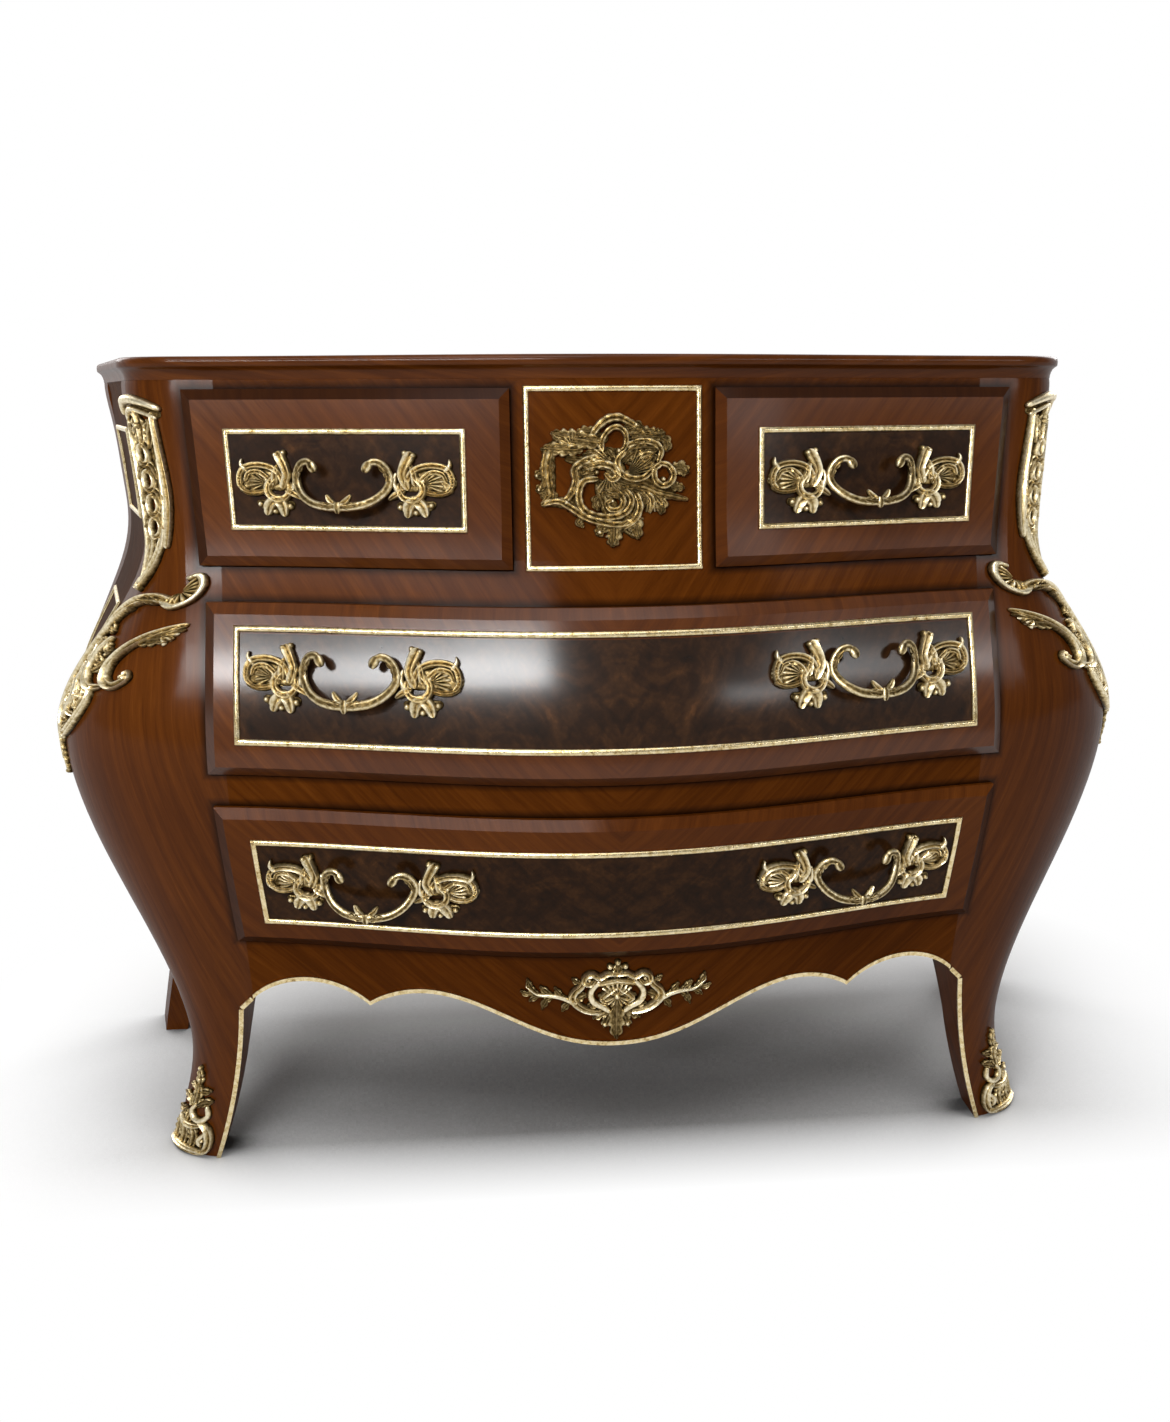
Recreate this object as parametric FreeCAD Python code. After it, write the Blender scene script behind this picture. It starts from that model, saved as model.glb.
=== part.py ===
"""A bombe commode chest: a swelling wooden case on four legs, four drawers, brass mounts.

Millimetres. X runs to the right as the chest is faced, Y runs to the back, Z is up.
The origin is on the floor, at the middle of the chest's width and depth.
"""
import FreeCAD
import Part

import math
import os

Vector = FreeCAD.Vector

# Overall sizes
HEIGHT = 880.0
DEPTH = 466.0
TOP_THICKNESS = 22.0
TOP_OVERHANG = 7.0
TOP_ROUND = 5.0

# Heights where the swelling outline turns
ANKLE_HEIGHT = 130.0
BELLY_HEIGHT = 485.0
WAIST_HEIGHT = 705.0

# Front face: how far it stands in front of the origin at its ends, and its bow at the middle
FRONT_AT_FLOOR = 96.0
FRONT_AT_ANKLE = 106.0
FRONT_AT_BELLY = 150.0
FRONT_AT_WAIST = 88.0
FRONT_AT_TOP = 63.0
FRONT_BOW = 75.0
BOW_HALF_WIDTH = 476.0

# Front corners: half width of the chest there, and how far they stand in front of the origin
CORNER_X_FLOOR = 503.0
CORNER_X_ANKLE = 473.0
CORNER_X_BELLY = 592.0
CORNER_X_WAIST = 468.0
CORNER_X_TOP = 493.0
CORNER_Y_FLOOR = 62.0
CORNER_Y_ANKLE = 66.0
CORNER_Y_BELLY = 8.0
CORNER_Y_WAIST = 48.0
CORNER_Y_TOP = 6.0
CORNER_ROUND_SHARE = 0.16

# Rear corners: half width of the chest along its back
REAR_X_FLOOR = 594.0
REAR_X_ANKLE = 574.0
REAR_X_BELLY = 646.0
REAR_X_WAIST = 572.0
REAR_X_TOP = 586.0

# Frame members
POST_INNER_X = 388.0
POST_FLAT_WIDTH = 36.0
POST_WALL = 28.0
POST_BACK_Y = 20.0
LEG_TOP = 232.0
LEG_KNEE_OUT = 12.0
LEG_KNEE_Z = 198.0
LEG_SPLAY = 45.0
LEG_BACK_Y = -60.0
REAR_POST_DEPTH = 43.0
REAR_POST_INNER_X = 520.0
REAR_LEG_SPLAY = 32.0
REAR_LEG_TOP = 205.0
SIDE_THICKNESS = 18.0
SIDE_ARCH_RISE = 24.0
RAIL_THICKNESS = 22.0
BACK_THICKNESS = 8.0
BACK_REBATE = 12.0
BACK_BOTTOM = 190.0
BOARD_THICKNESS = 12.0
GLUE_LINE = 0.3
SEAT_GAP = 0.1

# Drawer openings and the rails between them, from the apron up
APRON_TOP = 297.0
LOWER_DRAWER_HEIGHT = 140.0
LOWER_RAIL_HEIGHT = 51.0
MIDDLE_DRAWER_HEIGHT = 149.0
UPPER_RAIL_HEIGHT = 51.0
TOP_RAIL_HEIGHT = 15.0
CENTRE_PANEL_HALF = 107.0

# Apron edge: places towards the middle from the knee of the leg, and their heights
APRON_ARCH_IN = 62.0
APRON_ARCH_Z = 238.0
APRON_CUSP_IN = 140.0
APRON_CUSP_Z = 213.0
APRON_WAVE_IN = 193.0
APRON_WAVE_Z = 234.0
APRON_SLOPE_IN = 295.0
APRON_SLOPE_Z = 203.0
APRON_DROP_Z = 174.0

# Drawers
LIP_THICKNESS = 13.0
LIP_GAP = 0.7
LIP_OVER = 8.0
TOP_LIP_ABOVE = 6.0
TOP_LIP_SIDE = (21.0, 31.0)
MIDDLE_LIP_SIDE = (17.0, 15.0)
LOWER_LIP_SIDE = (7.0, 15.0)
BEVEL_WIDTH = 10.0
BEVEL_DEPTH = 8.0
OPENING_GAP = 2.0
DRAWER_BOARD = 12.0
DRAWER_BOTTOM = 6.0
DRAWER_BOTTOM_RISE = 8.0
DRAWER_HEADROOM = 8.0
DRAWER_REST = 0.4
DRAWER_REAR_GAP = 16.0
GUIDE_WIDTH = 14.0
GUIDE_HEIGHT = 20.0
GUIDE_GAP = 1.0

# Brass stringing: how far each frame lies inside its lip, below, above and at the sides
STRING_WIDTH = 7.0
STRING_HEIGHT = 2.5
TOP_STRING_IN = (32.0, 38.0)
TOP_STRING_SIDE = (37.0, 42.0)
TOP_STRING_INNER = 39.0
MIDDLE_STRING_IN = (30.0, 24.0)
MIDDLE_STRING_SIDE = (32.0, 31.0)
LOWER_STRING_IN = (29.0, 30.0)
LOWER_STRING_SIDE = (35.0, 37.0)
CENTRE_STRING_OVER = (11.0, 9.0)
CENTRE_STRING_SIDE = 20.0
SIDE_STRING_MARGIN = 22.0
EDGE_STRIP = 5.0

# Pulls: each is this far inside its string frame's outer end
PULL_INSET = 119.0
PULL_LIFT = (-4.5, 6.5, 2.5)
PULL_GRIP_HALF = 46.0
PULL_DROP = 25.0
PULL_REACH = 21.0
PULL_ROD = 4.2
PULL_SCROLL_ROD = 3.4
PULL_SCROLL_CREST = (10.0, 9.0, 18.0)
PULL_SCROLL_TIP = (23.0, 13.0, 9.0)
PLATE_THICKNESS = 4.0
BOLT_RADIUS = 2.5
BOLT_OFFSET = 72.0
NUT_RADIUS = 6.0
NUT_HEIGHT = 4.0
BOLT_CLEARANCE = 0.3

# Cast mounts
MOUNT_THICKNESS = 5.0
MOUNT_CLEARANCE = 2.0
SABOT_THICKNESS = 5.0
UPPER_MOUNT_BELOW_TOP = 18.0
LOWER_MOUNT_SHOULDER = 157.0
MOUNT_SPACING = 8.0
APRON_MOUNT_RISE = 62.0

TOP_UNDERSIDE = HEIGHT - TOP_THICKNESS
BACK_Y = DEPTH / 2
REAR_POST_FRONT_Y = BACK_Y - REAR_POST_DEPTH
INNER_BACK_Y = BACK_Y - BACK_REBATE
POST_FLAT_X = POST_INNER_X + POST_FLAT_WIDTH
LEG_KNEE_X = POST_INNER_X + LEG_KNEE_OUT
LEG_FOOT_INNER_X = LEG_KNEE_X + LEG_SPLAY
REAR_FOOT_INNER_X = REAR_POST_INNER_X + REAR_LEG_SPLAY
LOWER_OPENING = (APRON_TOP, APRON_TOP + LOWER_DRAWER_HEIGHT)
MIDDLE_FLOOR = LOWER_OPENING[1] + LOWER_RAIL_HEIGHT
MIDDLE_OPENING = (MIDDLE_FLOOR, MIDDLE_FLOOR + MIDDLE_DRAWER_HEIGHT)
TOP_OPENING = (MIDDLE_OPENING[1] + UPPER_RAIL_HEIGHT, TOP_UNDERSIDE - TOP_RAIL_HEIGHT)


def grown(sizes, below, above, side_low, side_high):
    """An outline (low z, high z, half width low, half width high) made larger on each side."""
    low, high, wide_low, wide_high = sizes
    return (low - below, high + above, wide_low + side_low, wide_high + side_high)


def opening_outline(opening):
    return (*opening, POST_INNER_X, POST_INNER_X)


TOP_LIP = grown(opening_outline(TOP_OPENING), LIP_OVER, TOP_LIP_ABOVE, *TOP_LIP_SIDE)
MIDDLE_LIP = grown(opening_outline(MIDDLE_OPENING), LIP_OVER, LIP_OVER, *MIDDLE_LIP_SIDE)
LOWER_LIP = grown(opening_outline(LOWER_OPENING), LIP_OVER, LIP_OVER, *LOWER_LIP_SIDE)
TOP_LIP_INNER_X = CENTRE_PANEL_HALF - LIP_OVER
TOP_STRING = grown(TOP_LIP, *(-v for v in TOP_STRING_IN + TOP_STRING_SIDE))
MIDDLE_STRING = grown(MIDDLE_LIP, *(-v for v in MIDDLE_STRING_IN + MIDDLE_STRING_SIDE))
LOWER_STRING = grown(LOWER_LIP, *(-v for v in LOWER_STRING_IN + LOWER_STRING_SIDE))
TOP_STRING_INNER_X = TOP_LIP_INNER_X + TOP_STRING_INNER
CENTRE_STRING_HALF = CENTRE_PANEL_HALF - CENTRE_STRING_SIDE
CENTRE_STRING = (TOP_OPENING[0] - CENTRE_STRING_OVER[0], TOP_OPENING[1] + CENTRE_STRING_OVER[1],
                 CENTRE_STRING_HALF, CENTRE_STRING_HALF)
CARTOUCHE_Z = sum(TOP_OPENING) / 2 - PULL_ROD
APRON_MOUNT_Z = APRON_DROP_Z + APRON_MOUNT_RISE
UPPER_MOUNT_TOP = TOP_UNDERSIDE - UPPER_MOUNT_BELOW_TOP
UPPER_MOUNT_LENGTH = UPPER_MOUNT_TOP - BELLY_HEIGHT - LOWER_MOUNT_SHOULDER - MOUNT_SPACING
LEVELS = (0.0, ANKLE_HEIGHT, BELLY_HEIGHT, WAIST_HEIGHT, HEIGHT)
FRONT_VALUES = (FRONT_AT_FLOOR, FRONT_AT_ANKLE, FRONT_AT_BELLY, FRONT_AT_WAIST, FRONT_AT_TOP)
CORNER_X_VALUES = (CORNER_X_FLOOR, CORNER_X_ANKLE, CORNER_X_BELLY, CORNER_X_WAIST, CORNER_X_TOP)
CORNER_Y_VALUES = (CORNER_Y_FLOOR, CORNER_Y_ANKLE, CORNER_Y_BELLY, CORNER_Y_WAIST, CORNER_Y_TOP)
REAR_X_VALUES = (REAR_X_FLOOR, REAR_X_ANKLE, REAR_X_BELLY, REAR_X_WAIST, REAR_X_TOP)
SECTION_COUNT = 21
FAR = 1000.0


def along(values, z):
    """A smooth outline through the values at LEVELS, with no overshoot (monotone cubic)."""
    steps = [b - a for a, b in zip(LEVELS, LEVELS[1:])]
    slopes = [(b - a) / h for a, b, h in zip(values, values[1:], steps)]
    tangents = [slopes[0]]
    for before, after in zip(slopes, slopes[1:]):
        turns = before * after <= 0
        tangents.append(0.0 if turns else 2 * before * after / (before + after))
    tangents.append(slopes[-1])
    i = 0
    while i < len(steps) - 1 and z > LEVELS[i + 1]:
        i += 1
    h = steps[i]
    t = (z - LEVELS[i]) / h
    return (values[i] * (2 * t**3 - 3 * t**2 + 1) + h * tangents[i] * (t**3 - 2 * t**2 + t)
            + values[i + 1] * (3 * t**2 - 2 * t**3) + h * tangents[i + 1] * (t**3 - t**2))


def bow(x):
    """The serpentine bow of the front at x."""
    return FRONT_BOW * 0.5 * (1 + math.cos(math.pi * x / BOW_HALF_WIDTH))


def front_y(x, z):
    """Y of the case's front face."""
    return -(along(FRONT_VALUES, z) + bow(x))


def side_x(y, z):
    """Half width of the case's side at depth y."""
    corner_y = -along(CORNER_Y_VALUES, z)
    corner_x = along(CORNER_X_VALUES, z)
    rear_x = along(REAR_X_VALUES, z)
    return corner_x + (rear_x - corner_x) * (y - corner_y) / (BACK_Y - corner_y)


def spread(low, high, count):
    """Evenly spaced values from low to high."""
    return [low + (high - low) * i / (count - 1) for i in range(count)]


def interpolated(points):
    """A smooth curve through points."""
    curve = Part.BSplineCurve()
    curve.interpolate(points)
    return curve


def straight(start, end):
    """A straight line as a curve of the same kind."""
    curve = Part.BSplineCurve()
    curve.buildFromPolesMultsKnots([start, end], [2, 2], [0.0, 1.0], False, 1)
    return curve


def sum_face(plan, profile):
    """The face swept when one curve is carried along another."""
    poles = [[a + b for b in profile.getPoles()] for a in plan.getPoles()]
    surface = Part.BSplineSurface()
    surface.buildFromPolesMultsKnots(
        poles, plan.getMultiplicities(), profile.getMultiplicities(), plan.getKnots(),
        profile.getKnots(), False, False, plan.Degree, profile.Degree)
    return surface.toShape()


PLAN_CURVE = interpolated(
    [Vector(x, -bow(x), 0) for x in spread(-BOW_HALF_WIDTH, BOW_HALF_WIDTH, 13)])
PROFILE_CURVE = interpolated([Vector(0, -along(FRONT_VALUES, z), z) for z in spread(0.0, HEIGHT, 17)])
FRONT_FACE = sum_face(PLAN_CURVE, PROFILE_CURVE)


def slab(forward, back):
    """The layer from `forward` in front of the front face to `back` behind it."""
    return FRONT_FACE.translated(Vector(0, -forward, 0)).extrude(Vector(0, forward + back, 0))


def prism(wire):
    """An outline in the XZ plane, drawn at y 0, as a long bar along Y."""
    return Part.Face(wire).translated(Vector(0, -FAR, 0)).extrude(Vector(0, 2 * FAR, 0))


def outline(points):
    """A closed straight-sided outline from (x, z) pairs."""
    corners = [Vector(x, 0, z) for x, z in points]
    return Part.makePolygon(corners + corners[:1])


def rectangle(x0, x1, z0, z1):
    return outline([(x0, z0), (x1, z0), (x1, z1), (x0, z1)])


def blob(points):
    """A closed smooth outline through (x, z) pairs."""
    curve = Part.BSplineCurve()
    curve.interpolate([Vector(x, 0, z) for x, z in points], PeriodicFlag=True)
    return Part.Wire([curve.toShape()])


def trapezium(sizes, inner_x=None, margin=0.0):
    """An outline from (low z, high z, half width low, half width high), over the whole front,
    or on the right of inner_x, drawn in by a margin."""
    low, high, wide_low, wide_high = sizes
    left_low = -wide_low if inner_x is None else inner_x
    left_high = -wide_high if inner_x is None else inner_x
    return outline([(left_low + margin, low + margin), (wide_low - margin, low + margin),
                    (wide_high - margin, high - margin), (left_high + margin, high - margin)])


def box(x0, x1, y0, y1, z0, z1):
    return Part.makeBox(x1 - x0, y1 - y0, z1 - z0, Vector(x0, y0, z0))


def mirrored(shape):
    return shape.mirror(Vector(0, 0, 0), Vector(1, 0, 0))


def behind(offset):
    """All the space behind the front face, from `offset` back."""
    return slab(-offset, FAR)


# Corner posts and legs

def post_section(z, grow, inner_x, back_y):
    """The right corner post's outline at z: level with the front at first, then rounded to the side."""
    def on_front(x):
        return Vector(x, front_y(x, z) - grow, z)
    turn = on_front(POST_FLAT_X)
    corner = Vector(along(CORNER_X_VALUES, z) + grow, -along(CORNER_Y_VALUES, z) - grow * 0.5, z)
    chord = corner - turn
    outward = Vector(chord.y, -chord.x, 0).normalize()
    middle = (turn + corner) * 0.5 + outward * (chord.Length * CORNER_ROUND_SHARE)
    side = Vector(side_x(back_y, z) + grow, back_y, z)
    back = Vector(inner_x, back_y, z)
    return Part.Wire([
        Part.Arc(on_front(inner_x), on_front((inner_x + POST_FLAT_X) / 2), turn).toShape(),
        Part.Arc(turn, middle, corner).toShape(), Part.makeLine(corner, side),
        Part.makeLine(side, back), Part.makeLine(back, on_front(inner_x))])


def post_body(grow, low, high, inner_x, back_y):
    sections = [post_section(z, grow, inner_x, back_y) for z in spread(low, high, SECTION_COUNT)]
    return Part.makeLoft(sections, True, False)


def leg_inner_edge():
    """The right leg's inner edge in the XZ plane, from the opening down to the foot."""
    knee = Vector(LEG_KNEE_X, 0, LEG_KNEE_Z)
    foot = Vector(LEG_FOOT_INNER_X, 0, 0)
    mid = Vector(LEG_KNEE_X + (LEG_FOOT_INNER_X - LEG_KNEE_X) * 0.36, 0, LEG_KNEE_Z * 0.5)
    top = Vector(POST_INNER_X, 0, apron_z(POST_INNER_X))
    return [Part.makeLine(top, knee), Part.Arc(knee, mid, foot).toShape()]


def inside_leg():
    """The space on the inner side of the right post and leg."""
    edge = leg_inner_edge()
    top = edge[0].Vertexes[0].Point
    foot = edge[-1].Vertexes[-1].Point
    away = POST_INNER_X - 2 * POST_WALL
    corners = [foot, Vector(away, 0, 0), Vector(away, 0, HEIGHT), Vector(POST_INNER_X, 0, HEIGHT), top]
    return prism(Part.Wire(edge + [Part.makeLine(p, q) for p, q in zip(corners, corners[1:])]))


def front_post(block):
    """The right corner post: a hollow rounded stile above, a solid leg below."""
    core = post_body(-POST_WALL, LEG_TOP, TOP_UNDERSIDE + POST_WALL,
                     POST_INNER_X - POST_WALL, POST_BACK_Y + POST_WALL)
    return block.cut(core).cut(inside_leg()).cut(leg_hollow())


def leg_hollow():
    """The space behind the front leg, below the side panel."""
    start = Vector(0, LEG_BACK_Y, 0)
    shin = Vector(0, LEG_BACK_Y, ANKLE_HEIGHT)
    bend = Vector(0, LEG_BACK_Y + (POST_BACK_Y - LEG_BACK_Y) * 0.35, LEG_TOP * 0.83)
    top = Vector(0, POST_BACK_Y, LEG_TOP)
    far_top = Vector(0, POST_BACK_Y + POST_WALL, LEG_TOP)
    far_low = Vector(0, POST_BACK_Y + POST_WALL, 0)
    wire = Part.Wire([
        Part.makeLine(start, shin), Part.Arc(shin, bend, top).toShape(),
        Part.makeLine(top, far_top), Part.makeLine(far_top, far_low),
        Part.makeLine(far_low, start)])
    return Part.Face(wire).extrude(Vector(FAR, 0, 0))


def rear_section(z):
    corners = [Vector(side_x(REAR_POST_FRONT_Y, z), REAR_POST_FRONT_Y, z),
               Vector(side_x(BACK_Y, z), BACK_Y, z),
               Vector(REAR_POST_INNER_X, BACK_Y, z),
               Vector(REAR_POST_INNER_X, REAR_POST_FRONT_Y, z)]
    return Part.makePolygon(corners + corners[:1])


def rear_post():
    solid = Part.makeLoft(
        [rear_section(z) for z in spread(0.0, TOP_UNDERSIDE, SECTION_COUNT)], True, False)
    away = REAR_POST_INNER_X - POST_WALL
    leg = Part.Wire([
        Part.Arc(Vector(REAR_FOOT_INNER_X, 0, 0),
                 Vector((REAR_FOOT_INNER_X * 0.4 + REAR_POST_INNER_X * 0.6), 0, REAR_LEG_TOP * 0.45),
                 Vector(REAR_POST_INNER_X, 0, REAR_LEG_TOP)).toShape(),
        Part.makeLine(Vector(REAR_POST_INNER_X, 0, REAR_LEG_TOP), Vector(away, 0, REAR_LEG_TOP)),
        Part.makeLine(Vector(away, 0, REAR_LEG_TOP), Vector(away, 0, 0)),
        Part.makeLine(Vector(away, 0, 0), Vector(REAR_FOOT_INNER_X, 0, 0))])
    rebate = box(0, REAR_POST_INNER_X + BACK_REBATE, INNER_BACK_Y, BACK_Y + FAR, BACK_BOTTOM, HEIGHT)
    return solid.cut(prism(leg)).cut(rebate)


def side_section(z, grow, thickness, y0, y1):
    outer0 = side_x(y0, z) + grow
    outer1 = side_x(y1, z) + grow
    corners = [Vector(outer0, y0, z), Vector(outer1, y1, z),
               Vector(outer1 - thickness, y1, z), Vector(outer0 - thickness, y0, z)]
    return Part.makePolygon(corners + corners[:1])


def side_body(grow, thickness, y0, y1, low, high):
    sections = [side_section(z, grow, thickness, y0, y1) for z in spread(low, high, SECTION_COUNT)]
    return Part.makeLoft(sections, True, False)


def side_arch(rise):
    """The space under the side panel, between the legs."""
    front = Vector(0, POST_BACK_Y, LEG_TOP)
    crown = Vector(0, (POST_BACK_Y + REAR_POST_FRONT_Y) / 2, LEG_TOP + rise)
    rear = Vector(0, REAR_POST_FRONT_Y, LEG_TOP)
    wire = Part.Wire([Part.Arc(front, crown, rear).toShape(), Part.makeLine(rear, front)])
    return Part.Face(wire).extrude(Vector(FAR, 0, 0))


def side_panel():
    panel = side_body(0.0, SIDE_THICKNESS, POST_BACK_Y, REAR_POST_FRONT_Y, LEG_TOP, TOP_UNDERSIDE)
    return panel.cut(side_arch(SIDE_ARCH_RISE))


# Front frame

def apron_curve():
    """The apron's lower edge, right half: an arch beside the leg, then a wave to the middle."""
    def in_from_knee(distance, z):
        return Vector(LEG_KNEE_X - distance, 0, z)
    knee = in_from_knee(0, LEG_KNEE_Z)
    cusp = in_from_knee(APRON_CUSP_IN, APRON_CUSP_Z)
    arch = Part.Arc(cusp, in_from_knee(APRON_ARCH_IN, APRON_ARCH_Z), knee)
    slope = in_from_knee(APRON_SLOPE_IN, APRON_SLOPE_Z)
    crest = in_from_knee(APRON_WAVE_IN, APRON_WAVE_Z)
    drop = Vector(0, 0, APRON_DROP_Z)
    wave = Part.BSplineCurve()
    wave.interpolate([drop, slope, crest, cusp], InitialTangent=Vector(slope.x, 0, 0),
                     FinalTangent=Vector(cusp.x - crest.x, 0, 2 * (cusp.z - crest.z)))
    return wave, arch


def apron_z(x):
    """Height of the arch beside the leg at x."""
    arch = apron_curve()[1]
    line = Part.Line(Vector(x, 0, 0), Vector(x, 0, 1))
    return max(hit.Z for hit in arch.intersect(line))


def apron_outline(raise_by, top):
    """The apron as an outline: the lower edge lifted by raise_by, closed along a level top."""
    wave, arch = (c.toShape() for c in apron_curve())
    right = Part.Wire([wave, arch]).translated(Vector(0, 0, raise_by))
    left = mirrored(right)
    end = Vector(LEG_KNEE_X, 0, LEG_KNEE_Z + raise_by)
    corner = Vector(LEG_KNEE_X, 0, top)
    other = Vector(-LEG_KNEE_X, 0, top)
    other_end = Vector(-LEG_KNEE_X, 0, LEG_KNEE_Z + raise_by)
    lines = [Part.makeLine(end, corner), Part.makeLine(corner, other), Part.makeLine(other, other_end)]
    return Part.Wire(Part.__sortEdges__(right.Edges + left.Edges + lines))


def between_posts():
    return box(-POST_INNER_X, POST_INNER_X, -FAR, FAR, 0, HEIGHT)


def rail(low, high):
    return slab(0, RAIL_THICKNESS).common(prism(rectangle(-POST_INNER_X, POST_INNER_X, low, high)))


def apron():
    return slab(0, RAIL_THICKNESS).common(prism(apron_outline(0, LOWER_OPENING[0]))).common(between_posts())


def centre_panel():
    low, high = TOP_OPENING
    return slab(0, RAIL_THICKNESS).common(
        prism(rectangle(-CENTRE_PANEL_HALF, CENTRE_PANEL_HALF, low, high)))


def partition():
    """The right upright beside the centre panel, from the dustboard to the top."""
    low = TOP_OPENING[0]
    board = box(CENTRE_PANEL_HALF - BOARD_THICKNESS, CENTRE_PANEL_HALF, -FAR, INNER_BACK_Y - GLUE_LINE,
                low, TOP_UNDERSIDE)
    return board.common(behind(RAIL_THICKNESS + GLUE_LINE))


def interior_section(z):
    """The space between the side panels at z."""
    front = side_x(POST_BACK_Y, z) - SIDE_THICKNESS - GLUE_LINE
    rear = side_x(REAR_POST_FRONT_Y, z) - SIDE_THICKNESS - GLUE_LINE
    y0 = POST_BACK_Y + GLUE_LINE
    y1 = REAR_POST_FRONT_Y - GLUE_LINE
    corners = [Vector(-front, y0, z), Vector(front, y0, z), Vector(rear, y1, z), Vector(-rear, y1, z)]
    return Part.makePolygon(corners + corners[:1])


def dustboard(level):
    """A board level with the bottom of a drawer opening, from the rail to the back and sides."""
    low = level - BOARD_THICKNESS
    half = POST_INNER_X - GLUE_LINE
    middle = box(-half, half, -FAR, INNER_BACK_Y - GLUE_LINE, low, level)
    middle = middle.common(behind(RAIL_THICKNESS + GLUE_LINE))
    wings = Part.makeLoft([interior_section(z) for z in spread(low, level, 3)], True, False)
    return middle.fuse(wings)


def guide(level):
    """The strip on the right of a dustboard that keeps a drawer straight."""
    inner = POST_INNER_X - OPENING_GAP + GUIDE_GAP
    return box(inner, inner + GUIDE_WIDTH, POST_BACK_Y + GLUE_LINE, REAR_POST_FRONT_Y - GLUE_LINE,
               level, level + GUIDE_HEIGHT)


def back_panel():
    half = REAR_POST_INNER_X + BACK_REBATE - GLUE_LINE
    return box(-half, half, INNER_BACK_Y, INNER_BACK_Y + BACK_THICKNESS, BACK_BOTTOM + GLUE_LINE,
               TOP_UNDERSIDE)


def top_board():
    """The top, a little larger than the case all round, with its upper edge rounded."""
    z = TOP_UNDERSIDE
    def front_point(x):
        return Vector(x, front_y(x, z) - TOP_OVERHANG, z)
    curve = Part.BSplineCurve()
    curve.interpolate([front_point(x) for x in spread(-POST_INNER_X, POST_INNER_X, 13)])
    right = []
    for sign in (1, -1):
        flat, rounded = post_section(z, TOP_OVERHANG, POST_INNER_X, POST_BACK_Y).Edges[:2]
        rear = Vector(side_x(BACK_Y, z) + TOP_OVERHANG, BACK_Y, z)
        edges = [flat, rounded, Part.makeLine(rounded.Vertexes[-1].Point, rear)]
        right += edges if sign > 0 else [mirrored(e) for e in edges]
    rear_x = side_x(BACK_Y, z) + TOP_OVERHANG
    back = Part.makeLine(Vector(rear_x, BACK_Y, z), Vector(-rear_x, BACK_Y, z))
    wire = Part.Wire(Part.__sortEdges__([curve.toShape(), back] + right))
    board = Part.Face(wire).extrude(Vector(0, 0, TOP_THICKNESS))
    rim = [e for e in board.Edges
           if min(v.Z for v in e.Vertexes) > HEIGHT - 1 and e.CenterOfMass.y < BACK_Y - 1]
    return board.makeFillet(TOP_ROUND, rim)


# Drawers

FIELD = LIP_GAP + LIP_THICKNESS
BEVEL_FOOT = FIELD - BEVEL_DEPTH


def level_bevel(edge_z, inward):
    """All that lies in front of the bevel along a level edge; inward is 1 at a bottom edge."""
    inner_z = edge_z + inward * BEVEL_WIDTH
    outer = Vector(0, -along(FRONT_VALUES, edge_z) - BEVEL_FOOT, edge_z)
    inner = Vector(0, -along(FRONT_VALUES, inner_z) - FIELD, inner_z)
    run = inner - outer
    return sum_face(PLAN_CURVE, straight(outer - run, inner + run)).extrude(Vector(0, -FAR, 0))


def upright_bevel(low, high, x_low, x_high, inward):
    """All that lies in front of the bevel along an upright edge; inward is 1 at a left edge."""
    heights = spread(low - BEVEL_WIDTH, high + BEVEL_WIDTH, 7)
    edge = interpolated([
        Vector(x_low + (x_high - x_low) * (z - low) / (high - low), -along(FRONT_VALUES, z), z)
        for z in heights])
    middle = (x_low + x_high) / 2
    outer = Vector(0, -bow(middle) - BEVEL_FOOT, 0)
    inner = Vector(inward * BEVEL_WIDTH, -bow(middle + inward * BEVEL_WIDTH) - FIELD, 0)
    run = inner - outer
    return sum_face(straight(outer - run, inner + run), edge).extrude(Vector(0, -FAR, 0))


def drawer_front(lip, lip_inner, opening, opening_inner):
    """A drawer front: a bevelled lip over the frame and a thicker plug inside the opening."""
    low, high, wide_low, wide_high = lip
    face = slab(FIELD, -LIP_GAP).common(prism(trapezium(lip, lip_inner)))
    left_low = -wide_low if lip_inner is None else lip_inner
    left_high = -wide_high if lip_inner is None else lip_inner
    face = face.cut(level_bevel(low, 1)).cut(level_bevel(high, -1))
    face = face.cut(upright_bevel(low, high, wide_low, wide_high, -1))
    face = face.cut(upright_bevel(low, high, left_low, left_high, 1))
    left = -POST_INNER_X if opening_inner is None else opening_inner
    plug = slab(FIELD - BEVEL_DEPTH / 2, RAIL_THICKNESS).common(prism(rectangle(
        left + OPENING_GAP, POST_INNER_X - OPENING_GAP,
        opening[0] + OPENING_GAP, opening[1] - OPENING_GAP)))
    return face.fuse(plug)


def drawer_box(opening, left, right):
    """A drawer's sides, back and bottom behind its front."""
    low, high = opening
    rear = INNER_BACK_Y - DRAWER_REAR_GAP
    x0 = left + OPENING_GAP
    x1 = right - OPENING_GAP
    space = behind(RAIL_THICKNESS + SEAT_GAP)
    floor = low + DRAWER_REST
    top = high - DRAWER_HEADROOM
    sides = [box(x, x + DRAWER_BOARD, -FAR, rear, floor, top).common(space)
             for x in (x0, x1 - DRAWER_BOARD)]
    inner0 = x0 + DRAWER_BOARD
    inner1 = x1 - DRAWER_BOARD
    base = floor + DRAWER_BOTTOM_RISE
    bottom = box(inner0, inner1, -FAR, rear, base, base + DRAWER_BOTTOM).common(space)
    back = box(inner0, inner1, rear - DRAWER_BOARD, rear, base + DRAWER_BOTTOM, top - DRAWER_HEADROOM)
    return Part.Compound(sides), back, bottom


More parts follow.
